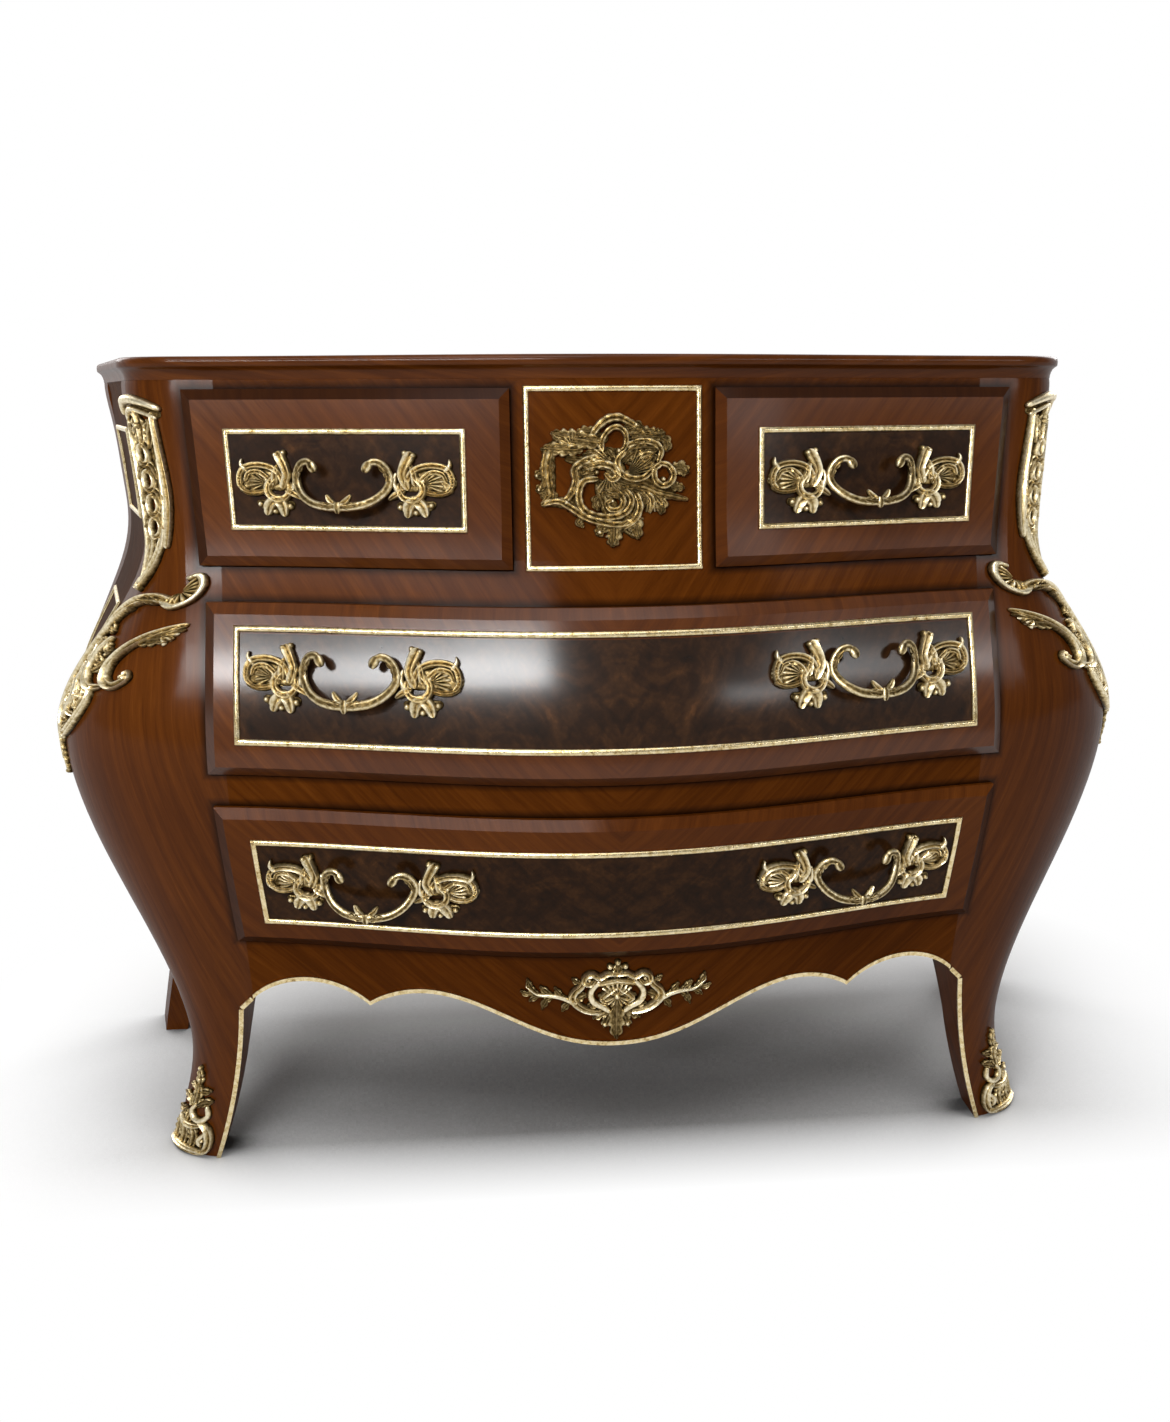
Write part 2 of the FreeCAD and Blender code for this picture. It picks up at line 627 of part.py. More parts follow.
def string_frame(sizes, inner_x, forward):
    """A flat brass frame on the front face, `forward` in front of the case."""
    ring = prism(trapezium(sizes, inner_x)).cut(prism(trapezium(sizes, inner_x, STRING_WIDTH)))
    return slab(forward + STRING_HEIGHT, -forward - SEAT_GAP).common(ring)


# Pulls: a leaf plate at each end and a fixed grip that stands out between them

PLATE_OUTLINE = [(45, 9), (53, 12), (60, 30), (68, 36), (73, 30), (70, 17), (86, 14), (104, 13),
                 (108, 3), (103, -9), (94, -15), (83, -17), (78, -28), (67, -36), (55, -34),
                 (46, -24), (44, -8)]


def plate(x, z, sign):
    wire = blob([(x + sign * u, z + v) for u, v in PLATE_OUTLINE])
    return slab(FIELD + PLATE_THICKNESS, -FIELD - SEAT_GAP).common(prism(wire))


def rod(start, middle, end, radius):
    """A round bar bent along the arc through three points."""
    arc = Part.Arc(start, middle, end).toShape()
    tangent = arc.tangentAt(arc.FirstParameter)
    ring = Part.Wire([Part.makeCircle(radius, start, tangent)])
    return Part.Wire([arc]).makePipeShell([ring], True, False)


def pull(x, z):
    """One cast pull centred at x, z on a drawer front."""
    def seat(px):
        return Vector(px, front_y(px, z) - FIELD - PLATE_THICKNESS / 2, z)
    ends = [seat(x - PULL_GRIP_HALF), seat(x + PULL_GRIP_HALF)]
    across = (ends[1] - ends[0]).normalize()
    lean = (front_y(x, z + PULL_DROP) - front_y(x, z - PULL_DROP)) / (2 * PULL_DROP)
    up = Vector(0, lean, 1).normalize()
    outward = across.cross(up).normalize()
    centre = (ends[0] + ends[1]) * 0.5
    lowest = centre + outward * PULL_REACH - up * PULL_DROP
    shape = rod(ends[0], lowest, ends[1], PULL_ROD)
    for end, sign in zip(ends, (1, -1)):
        crest, tip = (end + across * (sign * u) + outward * w + up * v
                      for u, w, v in (PULL_SCROLL_CREST, PULL_SCROLL_TIP))
        shape = shape.fuse(rod(end, crest, tip, PULL_SCROLL_ROD))
    shape = shape.cut(behind(-FIELD - PLATE_THICKNESS * 0.3))
    for sign in (-1, 1):
        shape = shape.fuse(plate(x, z, sign))
    return shape


def bolt_line(x, z, radius):
    return Part.makeCylinder(radius, FAR, Vector(x, -FAR / 2, z), Vector(0, 1, 0))


def bolt(x, z):
    """A bolt from a plate's back through the drawer front, with its nut inside."""
    inside = front_y(x, z) + RAIL_THICKNESS + NUT_HEIGHT
    shank = bolt_line(x, z, BOLT_RADIUS).common(behind(-FIELD))
    shank = shank.common(box(x - FAR, x + FAR, -FAR, inside + NUT_HEIGHT, z - FAR, z + FAR))
    nut = bolt_line(x, z, NUT_RADIUS).common(behind(RAIL_THICKNESS + SEAT_GAP))
    nut = nut.common(box(x - FAR, x + FAR, -FAR, inside, z - FAR, z + FAR))
    return shank.fuse(nut)


# Cast mounts on the corner posts

CORNER_TURN = math.radians(40)
OUTWARD = Vector(math.sin(CORNER_TURN), -math.cos(CORNER_TURN), 0)
ACROSS = Vector(math.cos(CORNER_TURN), math.sin(CORNER_TURN), 0)


def corner_bar(points):
    """A smooth outline of (distance from the corner, height) pairs as a bar across the corner."""
    def place(s, z):
        corner = Vector(along(CORNER_X_VALUES, z), -along(CORNER_Y_VALUES, z), 0)
        return ACROSS * (corner.dot(ACROSS) + s) + Vector(0, 0, z) + OUTWARD * (2 * POST_WALL)
    curve = Part.BSplineCurve()
    curve.interpolate([place(s, z) for s, z in points], PeriodicFlag=True)
    return Part.Face(Part.Wire([curve.toShape()])).extrude(OUTWARD * FAR)


# Outlines of the corner mounts: distance from the corner, with shares of the upper mount's length,
# heights above the belly for the lower mount and above the floor for the shoe
UPPER_MOUNT = [(-58, -0.03), (-30, 0.0), (4, -0.02), (3, -0.21), (-3, -0.42), (-5, -0.66), (-14, -0.86),
               (-27, -1.0), (-36, -0.88), (-42, -0.63), (-50, -0.37), (-55, -0.18)]
LOWER_MOUNT = [(-96, 146), (-106, 160), (-100, 178), (-84, 187), (-70, 176), (-42, 167), (-14, 145),
               (1, 112), (4, 70), (3, 30), (-1, -4), (-10, -30), (-18, -40), (-27, -22), (-34, 0),
               (-60, 15), (-82, 40), (-86, 62), (-106, 70), (-122, 74), (-122, 88), (-102, 98),
               (-94, 108), (-104, 120), (-122, 130), (-116, 141)]
LOWER_MOUNT_HOLES = [(-34, 127, 8), (-22, 104, 7), (-52, 88, 8), (-40, 48, 9)]
SABOT = [(-58, -14), (-59, 24), (-51, 58), (-47, 88), (-30, 114), (-14, 104), (6, 70), (14, 30), (14, -14)]


def corner_hole(s, z, radius):
    corner = Vector(along(CORNER_X_VALUES, z), -along(CORNER_Y_VALUES, z), 0)
    return Part.makeCylinder(radius, FAR, ACROSS * (corner.dot(ACROSS) + s) + Vector(0, 0, z), OUTWARD)


def corner_mount(places, holes, block):
    """A casting over the right corner, clear of the drawers that slide past it."""
    low = min(z for s, z in places) - MOUNT_THICKNESS
    high = min(max(z for s, z in places) + MOUNT_THICKNESS, TOP_UNDERSIDE)
    shell = post_body(MOUNT_THICKNESS, low, high, POST_INNER_X - POST_WALL, POST_BACK_Y)
    shape = shell.cut(block).common(corner_bar(places))
    for s, z, radius in holes:
        shape = shape.cut(corner_hole(s, z, radius))
    for lip in (TOP_LIP, MIDDLE_LIP):
        shape = shape.cut(prism(trapezium(lip, margin=-MOUNT_CLEARANCE)))
    return shape


def sabot(block):
    """The cast shoe over the corner of the right front foot, clear of the strip on the leg's inner edge."""
    shell = post_body(SABOT_THICKNESS, 0.0, LEG_KNEE_Z, POST_INNER_X, POST_BACK_Y)
    strip_side = inside_leg().translated(Vector(EDGE_STRIP + MOUNT_CLEARANCE, 0, 0))
    return shell.cut(block).cut(strip_side).cut(leg_hollow()).common(corner_bar(SABOT))


def leg_strip(block):
    """The brass strip down the inner edge of the right front leg."""
    shell = post_body(STRING_HEIGHT, 0.0, LEG_TOP, POST_INNER_X - POST_WALL, POST_BACK_Y)
    shell = shell.cut(block)
    band = inside_leg().translated(Vector(EDGE_STRIP, 0, 0)).cut(inside_leg())
    limit = box(0, FAR, -FAR, LEG_BACK_Y, 0.0, LEG_KNEE_Z)
    return shell.common(band).common(limit)


def apron_strip():
    """The brass strip along the apron's lower edge."""
    lifted = prism(apron_outline(EDGE_STRIP, LOWER_OPENING[0]))
    ring = prism(apron_outline(0, LOWER_OPENING[0])).cut(lifted)
    return slab(STRING_HEIGHT, -SEAT_GAP).common(ring).common(between_posts())


CARTOUCHE = [(0, 62), (24, 52), (38, 30), (62, 34), (74, 14), (60, -8), (46, -26), (24, -40),
             (8, -60), (-8, -60), (-26, -42), (-50, -34), (-72, -18), (-66, 8), (-44, 16),
             (-40, 40), (-22, 52)]
CARTOUCHE_HOLES = [(0, 36, 9), (-42, -6, 9), (40, 6, 8), (0, -4, 12)]
APRON_MOUNT = [(0, 47), (20, 40), (40, 36), (46, 20), (70, 22), (100, 18), (88, 6), (60, 2),
               (40, -10), (22, -28), (0, -50), (-22, -28), (-40, -10), (-60, 2), (-88, 6),
               (-100, 18), (-70, 22), (-46, 20), (-40, 36), (-20, 40)]
APRON_MOUNT_HOLES = [(-28, 22, 6), (28, 22, 6), (0, 8, 10)]


def front_mount(points, holes, centre_z):
    """A pierced casting on the case's front, drawn about the middle at centre_z."""
    shape = prism(blob([(x, centre_z + z) for x, z in points]))
    for x, z, radius in holes:
        shape = shape.cut(bolt_line(x, centre_z + z, radius))
    return slab(MOUNT_THICKNESS, -SEAT_GAP).common(shape)


def side_string(low, high):
    """A brass frame on the right side panel."""
    y0 = POST_BACK_Y + SIDE_STRING_MARGIN
    y1 = REAR_POST_FRONT_Y - SIDE_STRING_MARGIN
    outer = box(0, FAR, y0, y1, low, high)
    inner = box(0, FAR, y0 + STRING_WIDTH, y1 - STRING_WIDTH, low + STRING_WIDTH, high - STRING_WIDTH)
    shell = side_body(STRING_HEIGHT, STRING_HEIGHT + SIDE_THICKNESS / 2, POST_BACK_Y,
                      REAR_POST_FRONT_Y, LEG_TOP, TOP_UNDERSIDE)
    panel = side_body(SEAT_GAP, SIDE_THICKNESS, POST_BACK_Y, REAR_POST_FRONT_Y, LEG_TOP, TOP_UNDERSIDE)
    return shell.cut(panel).common(outer.cut(inner))


def build():
    """Every piece by its node name."""
    pieces = {}
    block = post_body(0.0, 0.0, TOP_UNDERSIDE, POST_INNER_X - POST_WALL, POST_BACK_Y)
    seat = post_body(SEAT_GAP, 0.0, TOP_UNDERSIDE, POST_INNER_X - POST_WALL, POST_BACK_Y)
    pieces["top_board"] = top_board()
    upper_places = [(s, UPPER_MOUNT_TOP + share * UPPER_MOUNT_LENGTH) for s, share in UPPER_MOUNT]
    lower_places = [(s, BELLY_HEIGHT + z) for s, z in LOWER_MOUNT]
    lower_holes = [(s, BELLY_HEIGHT + z, radius) for s, z, radius in LOWER_MOUNT_HOLES]
    right_pieces = {
        "front_post": front_post(block), "rear_post": rear_post(), "side_panel": side_panel(),
        "upper_corner_mount": corner_mount(upper_places, [], seat),
        "lower_corner_mount": corner_mount(lower_places, lower_holes, seat),
        "foot_sabot": sabot(seat),
        "side_banding": Part.Compound([side_string(*s[:2]) for s in
                                       (TOP_STRING, MIDDLE_STRING, LOWER_STRING)])}
    for name, shape in right_pieces.items():
        pieces["right_" + name] = shape
        pieces["left_" + name] = mirrored(shape)
    pieces["back_panel"] = back_panel()
    pieces["top_front_rail"] = rail(TOP_OPENING[1], TOP_UNDERSIDE)
    pieces["upper_drawer_rail"] = rail(MIDDLE_OPENING[1], TOP_OPENING[0])
    pieces["lower_drawer_rail"] = rail(LOWER_OPENING[1], MIDDLE_OPENING[0])
    pieces["front_apron"] = apron()
    pieces["centre_panel"] = centre_panel()
    wall = partition()
    pieces["drawer_partitions"] = Part.Compound([wall, mirrored(wall)])
    levels = {"upper": TOP_OPENING[0], "middle": MIDDLE_OPENING[0], "lower": LOWER_OPENING[0]}
    guides = []
    for name, level in levels.items():
        pieces[name + "_dustboard"] = dustboard(level)
        strip = guide(level)
        guides += [strip, mirrored(strip)]
    pieces["drawer_guides"] = Part.Compound(guides)
    pieces["centre_panel_banding"] = string_frame(CENTRE_STRING, None, 0)
    strip = leg_strip(seat)
    pieces["apron_banding"] = Part.Compound([apron_strip(), strip, mirrored(strip)])
    pieces["centre_cartouche"] = front_mount(CARTOUCHE, CARTOUCHE_HOLES, CARTOUCHE_Z)
    pieces["apron_mount"] = front_mount(APRON_MOUNT, APRON_MOUNT_HOLES, APRON_MOUNT_Z)
    pieces.update(drawer("top_right", TOP_LIP, TOP_LIP_INNER_X, TOP_OPENING, CENTRE_PANEL_HALF,
                         TOP_STRING, TOP_STRING_INNER_X, PULL_LIFT[0]))
    for name in [n for n in pieces if n.startswith("top_right_")]:
        pieces[name.replace("right", "left")] = mirrored(pieces[name])
    pieces.update(drawer("middle", MIDDLE_LIP, None, MIDDLE_OPENING, None,
                         MIDDLE_STRING, None, PULL_LIFT[1]))
    pieces.update(drawer("lower", LOWER_LIP, None, LOWER_OPENING, None,
                         LOWER_STRING, None, PULL_LIFT[2]))
    return centred(pieces)


def centred(pieces):
    """Every piece moved so that the origin is at the middle of the depth."""
    boxes = [shape.optimalBoundingBox(False, False) for shape in pieces.values()]
    middle = (min(b.YMin for b in boxes) + max(b.YMax for b in boxes)) / 2
    return {name: shape.translated(Vector(0, -middle, 0)) for name, shape in pieces.items()}


def pull_place(string, lift):
    """Where the right pull of a drawer is centred: x, z."""
    low, high, wide_low, wide_high = string
    return (wide_low + wide_high) / 2 - PULL_INSET, (low + high) / 2 + lift


def drawer(name, lip, lip_inner, opening, opening_inner, string, string_inner, pull_lift):
    """All the pieces of one drawer; a drawer with no inner edge spans the whole front."""
    pull_x, pull_z = pull_place(string, pull_lift)
    left = -POST_INNER_X if opening_inner is None else opening_inner
    front = drawer_front(lip, lip_inner, opening, opening_inner)
    sides, back, bottom = drawer_box(opening, left, POST_INNER_X)
    places = [pull_x] if opening_inner is not None else [-pull_x, pull_x]
    bolts = []
    for x in places:
        for sign in (-1, 1):
            front = front.cut(bolt_line(x + sign * BOLT_OFFSET, pull_z, BOLT_RADIUS + BOLT_CLEARANCE))
            bolts.append(bolt(x + sign * BOLT_OFFSET, pull_z))
    pieces = {name + "_drawer_front": front, name + "_drawer_sides": sides,
              name + "_drawer_back": back, name + "_drawer_bottom": bottom,
              name + "_drawer_banding": string_frame(string, string_inner, FIELD),
              name + "_pull_bolts": Part.Compound(bolts)}
    if opening_inner is not None:
        pieces[name + "_pull"] = pull(pull_x, pull_z)
    else:
        pieces[name + "_right_pull"] = pull(pull_x, pull_z)
        pieces[name + "_left_pull"] = mirrored(pieces[name + "_right_pull"])
    return pieces


if __name__ == "__main__":
    os.makedirs("parts", exist_ok=True)
    for node, shape in build().items():
        shape.exportStep("parts/" + node + ".step")
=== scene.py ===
"""The looks of the commode chest: veneers, brass stringing, cast mounts, floor, light and camera."""
import functools
from math import acos, cos, exp, pi, radians, sin
import bmesh
import bpy
from mathutils import Matrix, Vector


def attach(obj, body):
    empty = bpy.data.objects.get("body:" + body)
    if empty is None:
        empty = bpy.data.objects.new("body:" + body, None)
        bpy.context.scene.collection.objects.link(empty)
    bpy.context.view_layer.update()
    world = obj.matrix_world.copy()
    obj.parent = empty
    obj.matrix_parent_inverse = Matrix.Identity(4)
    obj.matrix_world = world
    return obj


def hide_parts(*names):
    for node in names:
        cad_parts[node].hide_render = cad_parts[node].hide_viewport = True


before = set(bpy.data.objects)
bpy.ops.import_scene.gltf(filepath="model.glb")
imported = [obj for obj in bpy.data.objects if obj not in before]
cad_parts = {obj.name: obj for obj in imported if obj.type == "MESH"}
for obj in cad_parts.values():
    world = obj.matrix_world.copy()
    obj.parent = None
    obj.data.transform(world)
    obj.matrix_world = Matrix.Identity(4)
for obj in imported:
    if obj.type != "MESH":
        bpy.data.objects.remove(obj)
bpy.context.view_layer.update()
scene = bpy.context.scene
scene.view_settings.view_transform = "Standard"

# Shape of the chest in millimetres, the same values as the solids
LEVELS = (0, 130, 485, 705, 880)
FRONT_VALUES = (96, 106, 150, 88, 63)
FRONT_BOW = 75
BOW_HALF_WIDTH = 476
CORNER_X_VALUES = (503, 473, 592, 468, 493)
CORNER_Y_VALUES = (62, 66, 8, 48, 6)
REAR_X_VALUES = (594, 574, 646, 572, 586)
BACK_Y = 233
POST_FLAT_X = 424
CORNER_ROUND_SHARE = 0.16
CORNER_TURN = radians(40)
ACROSS = Vector((cos(CORNER_TURN), sin(CORNER_TURN)))
CENTRING = 3.1696
LIP_FACE = 13.7
STRING_WIDTH = 7
METRE = 1000
SIDES = ((-1, "left"), (1, "right"))

# Drawer fronts and string frames: low z, high z, half widths there, inner x of a short drawer
TOP_LIP = (680, 849, 409, 419, 99)
MIDDLE_LIP = (480, 645, 405, 403, None)
LOWER_LIP = (289, 445, 395, 403, None)
TOP_STRING = (712, 811, 372, 377, 138)
MIDDLE_STRING = (510, 621, 373, 372, None)
LOWER_STRING = (318, 415, 360, 366, None)
CENTRE_STRING = (677, 852, 87, 87, None)
SIDE_STRING_Y = (42, 168)

# Centres of the pulls on the right half, and heights of the mounts
TOP_PULL = (255.5, 757)
MIDDLE_PULL = (253.5, 572)
LOWER_PULL = (244, 369)
CARTOUCHE_Z = 761.3
APRON_MOUNT_Z = 236
UPPER_MOUNT_Z = 840
LOWER_MOUNT_Z = 485


def along(values, z):
    """A smooth value at height z through the values at LEVELS, with no overshoot."""
    steps = [b - a for a, b in zip(LEVELS, LEVELS[1:])]
    slopes = [(b - a) / h for a, b, h in zip(values, values[1:], steps)]
    tangents = [slopes[0]]
    for before, after in zip(slopes, slopes[1:]):
        turns = before * after <= 0
        tangents.append(0.0 if turns else 2 * before * after / (before + after))
    tangents.append(slopes[-1])
    i = 0
    while i < len(steps) - 1 and z > LEVELS[i + 1]:
        i += 1
    h = steps[i]
    t = (z - LEVELS[i]) / h
    start = values[i] * (2 * t ** 3 - 3 * t ** 2 + 1) + h * tangents[i] * (t ** 3 - 2 * t ** 2 + t)
    end = values[i + 1] * (3 * t ** 2 - 2 * t ** 3) + h * tangents[i + 1] * (t ** 3 - t ** 2)
    return start + end


def front_y(x, z):
    bow = FRONT_BOW * 0.5 * (1 + cos(pi * x / BOW_HALF_WIDTH))
    return -(along(FRONT_VALUES, z) + bow)


def side_x(y, z):
    corner_y = -along(CORNER_Y_VALUES, z)
    corner_x = along(CORNER_X_VALUES, z)
    rear_x = along(REAR_X_VALUES, z)
    return corner_x + (rear_x - corner_x) * (y - corner_y) / (BACK_Y - corner_y)


def post_point(s, z):
    """A point on the right post's outer face at height z, at distance s outside its corner."""
    turn = Vector((POST_FLAT_X, front_y(POST_FLAT_X, z)))
    corner = Vector((along(CORNER_X_VALUES, z), -along(CORNER_Y_VALUES, z)))
    if s >= 0:
        far = Vector((side_x(BACK_Y, z), BACK_Y))
        share = s / (far - corner).dot(ACROSS)
        plan = corner.lerp(far, share)
    elif s <= (turn - corner).dot(ACROSS):
        x = POST_FLAT_X
        for _ in range(8):
            miss = (Vector((x, front_y(x, z))) - corner).dot(ACROSS) - s
            x -= miss / ACROSS.x
        plan = Vector((x, front_y(x, z)))
    else:
        chord = corner - turn
        outward = Vector((chord.y, -chord.x)).normalized()
        rise = chord.length * CORNER_ROUND_SHARE
        radius = chord.length_squared / (8 * rise) + rise / 2
        centre = (turn + corner) / 2 + outward * (rise - radius)
        reach = (s - (centre - corner).dot(ACROSS)) / radius
        angle = CORNER_TURN - acos(max(-1.0, min(1.0, reach)))
        plan = centre + Vector((cos(angle), sin(angle))) * radius
    return Vector((plan.x, plan.y, z))


def final(point, side=1):
    """A point of the right half in the shared frame in metres; side -1 puts it on the left half."""
    return Vector((side * point.x, point.y + CENTRING, point.z)) / METRE


def on_surface(point_at, side, proud=0):
    """Maps (u, v, w) to space, w outwards from `proud` above the point (u, v) of a face."""
    def place(u, v, w):
        along_u = point_at(u + 1, v) - point_at(u - 1, v)
        along_v = point_at(u, v + 1) - point_at(u, v - 1)
        normal = along_u.cross(along_v).normalized()
        return final(point_at(u, v) + normal * (proud + w), side)
    return place


def on_front(centre_x, centre_z, proud=0, side=1):
    """A map about a point of the front."""
    def point_at(u, v):
        x = centre_x + u
        z = centre_z + v
        return Vector((x, front_y(x, z), z))
    return on_surface(point_at, side, proud)


def on_corner(base_z, side):
    """A map about the corner of a front post, upwards from a height."""
    return on_surface(lambda s, v: post_point(s, base_z + v), side)


def on_side(side):
    """A map of a side panel by y and z."""
    return on_surface(lambda y, z: Vector((side_x(y, z), y, z)), side)


# Colours and materials

def colour(red, green, blue):
    """An sRGB colour from 0 to 255 as the linear value a shader takes."""
    def linear(value):
        share = value / 255
        return share / 12.92 if share <= 0.04045 else ((share + 0.055) / 1.055) ** 2.4
    return (linear(red), linear(green), linear(blue), 1.0)


# Shades of wood and brass, from dark to pale: place on the ramp, red, green and blue
RED_BROWN = ((0.26, 50, 22, 3), (0.45, 70, 33, 5), (0.58, 84, 42, 8), (0.8, 112, 62, 18))
# A darker copy of the red-brown for the side panels: painted shade
SIDE_PAINTED_SHADE_BROWN = ((0.26, 34, 16, 4), (0.45, 54, 27, 6), (0.58, 68, 36, 9), (0.8, 94, 54, 18))
BURR_BROWN = ((0.34, 18, 9, 3), (0.48, 37, 20, 7), (0.58, 54, 32, 13), (0.72, 88, 54, 26))
BARE_WOOD = ((0.3, 118, 82, 48), (0.5, 158, 118, 76), (0.7, 188, 150, 104))
CAST_SHADES = ((0.05, 40, 29, 12), (0.35, 110, 91, 55), (0.65, 190, 170, 124), (1, 240, 228, 196))
STRING_SHADES = ((0.28, 140, 112, 66), (0.42, 206, 184, 134), (0.62, 232, 216, 176))
BOLT_SHADES = ((0.3, 120, 96, 52), (0.7, 196, 168, 106))
# Painted shadow on the case beside the drawer fronts' edges
LIP_SHADOW_BROWN = colour(18, 7, 2)
# Painted shade on the drawer fronts' bevels
BEVEL_SHADE_BROWN = colour(26, 10, 3)

# Waves of the wood's figure per metre, along and across the grain
RIBBONS = (5, 105)
PORES = (40, 620)
BURR_FLOW = (9, 60)
RINGS = (1.6, 34)
FIBRE = (14, 420)

# Grain directions, the clear coat, and the painted shadow beside a drawer front in metres
GRAIN_ANGLE = radians(42)
UPRIGHT_ANGLE = radians(74)
COAT_ROUGHNESS = 0.17
SPECULAR_SHARE = 0.08
TOP_GLOSS = 0.25
LIP_SHADOW_REACH = (0.001, 0.009)
LIP_SHADOW_DARKNESS = 0.88


class Paint:
    """A material under construction, with short calls for its nodes."""

    def __init__(self, name):
        self.material = bpy.data.materials.new(name)
        self.material.use_nodes = True
        self.tree = self.material.node_tree
        self.shader = self.tree.nodes["Principled BSDF"]
        self.output = self.tree.nodes["Material Output"]

    def feed(self, target, value):
        """Links an output to an input, or sets the input to a plain value."""
        if isinstance(value, bpy.types.NodeSocket):
            self.tree.links.new(value, target)
        else:
            target.default_value = value

    def use(self, name, value):
        """Feeds an input of the shader."""
        self.feed(self.shader.inputs[name], value)

    def node(self, kind, inputs=(), output=0, **settings):
        """One output of a new node, whose inputs are fed by name or number."""
        made = self.tree.nodes.new("ShaderNode" + kind)
        for key, value in settings.items():
            setattr(made, key, value)
        for key, value in dict(inputs).items():
            self.feed(made.inputs[key], value)
        return made.outputs[output]

    def math(self, operation, first, second=0):
        return self.node("Math", enumerate((first, second)), operation=operation)

    def chain(self, operation, values):
        """One value from several, taken two by two."""
        return functools.reduce(lambda first, second: self.math(operation, first, second), values)

    def weighted(self, *terms):
        """The sum of values, each times its weight."""
        return self.chain("ADD", [self.math("MULTIPLY", value, weight) for value, weight in terms])

    def join(self, x, y, z=0):
        return self.node("CombineXYZ", enumerate((x, y, z)))

    def parts(self, vector):
        """The x, y and z of a vector."""
        return self.node("SeparateXYZ", {0: vector}).node.outputs[:]

    def place(self):
        """The point on the object in metres, as a vector and as x, y, z."""
        where = self.node("TexCoord", output="Object")
        return where, *self.parts(where)

    def stretch(self, ways, scales):
        """A vector of values, each times its own scale."""
        return self.join(*(self.math("MULTIPLY", way, scale) for way, scale in zip(ways, scales)))

    def noise(self, vector, scale, detail, roughness, distortion=0):
        settings = {"Scale": scale, "Detail": detail, "Roughness": roughness, "Distortion": distortion}
        return self.node("TexNoise", {"Vector": vector, **settings}, "Fac")

    def ramp(self, factor, stops):
        shade = self.node("ValToRGB", {"Fac": factor}, "Color")
        elements = shade.node.color_ramp.elements
        while len(elements) < len(stops):
            elements.new(1.0)
        for element, (place, *tint) in zip(elements, stops):
            element.position = place
            element.color = colour(*tint)
        return shade

    def mix(self, factor, first, second):
        return self.node("Mix", {"Factor": factor, "A": first, "B": second}, "Result", data_type="RGBA")

    def span(self, value, low, high, to_low, to_high):
        """A value carried from one range to another, and held at its ends."""
        limits = {"From Min": low, "From Max": high, "To Min": to_low, "To Max": to_high}
        return self.node("MapRange", {"Value": value, **limits}, "Result")

    def bump(self, height, strength, distance):
        inputs = {"Height": height, "Strength": strength, "Distance": distance}
        self.use("Normal", self.node("Bump", inputs, "Normal"))


def grain_space(paint, angle):
    """The place, |x|, z and the ways along and across a grain that rises outwards from the middle."""
    where, x, y, z = paint.place()
    outward = paint.math("ABSOLUTE", x)
    around = paint.math("ADD", outward, y)
    lengthwise = paint.weighted((around, cos(angle)), (z, sin(angle)))
    crosswise = paint.weighted((z, cos(angle)), (around, -sin(angle)))
    return where, outward, z, (lengthwise, crosswise)


def veneer_colour(paint, where, grain, stops):
    """Ribbon figure, pores and broad shade of a straight-grained veneer."""
    ribbon = paint.noise(paint.stretch(grain, RIBBONS), 1, 4, 0.6, 0.5)
    pores = paint.noise(paint.stretch(grain, PORES), 1, 2, 0.7)
    broad = paint.noise(where, 4.5, 2, 0.5)
    paint.use("Roughness", paint.span(pores, 0.3, 0.7, 0.5, 0.34))
    paint.bump(pores, 0.12, 0.0004)
    return paint.ramp(paint.weighted((ribbon, 0.5), (broad, 0.3), (pores, 0.2)), stops)


def lacquered(paint, shade, gloss):
    """The wood under its clear coat, which is rubbed down where the gloss is low."""
    paint.use("Base Color", shade)
    paint.use("Specular IOR Level", SPECULAR_SHARE * gloss)
    paint.use("Coat Weight", gloss)
    paint.use("Coat Roughness", COAT_ROUGHNESS)
    return paint.material


def outside(paint, outward, z, outline):
    """How far a point lies outside a drawer front or a string frame, in metres."""
    *sizes, inner = outline
    low, high, wide_low, wide_high = (size / METRE for size in sizes)
    pairs = [(low, z), (z, high), (outward, paint.span(z, low, high, wide_low, wide_high))]
    if inner is not None:
        pairs.append((inner / METRE, outward))
    return paint.chain("MAXIMUM", [paint.math("SUBTRACT", *pair) for pair in pairs])


def veneer(name, angle, gloss, stops=RED_BROWN):
    """Straight-grained veneer, with a painted shadow on the case along the edges of the drawer fronts."""
    paint = Paint(name)
    where, outward, z, grain = grain_space(paint, angle)
    gaps = [outside(paint, outward, z, lip) for lip in (TOP_LIP, MIDDLE_LIP, LOWER_LIP)]
    # Painted shadow: the case darkens within a few millimetres outside each drawer front, where its lip
    # casts shade
    lip_shadow = paint.span(paint.chain("MINIMUM", gaps), *LIP_SHADOW_REACH, LIP_SHADOW_DARKNESS, 0)
    shade = paint.mix(lip_shadow, veneer_colour(paint, where, grain, stops), LIP_SHADOW_BROWN)
    return lacquered(paint, shade, gloss)


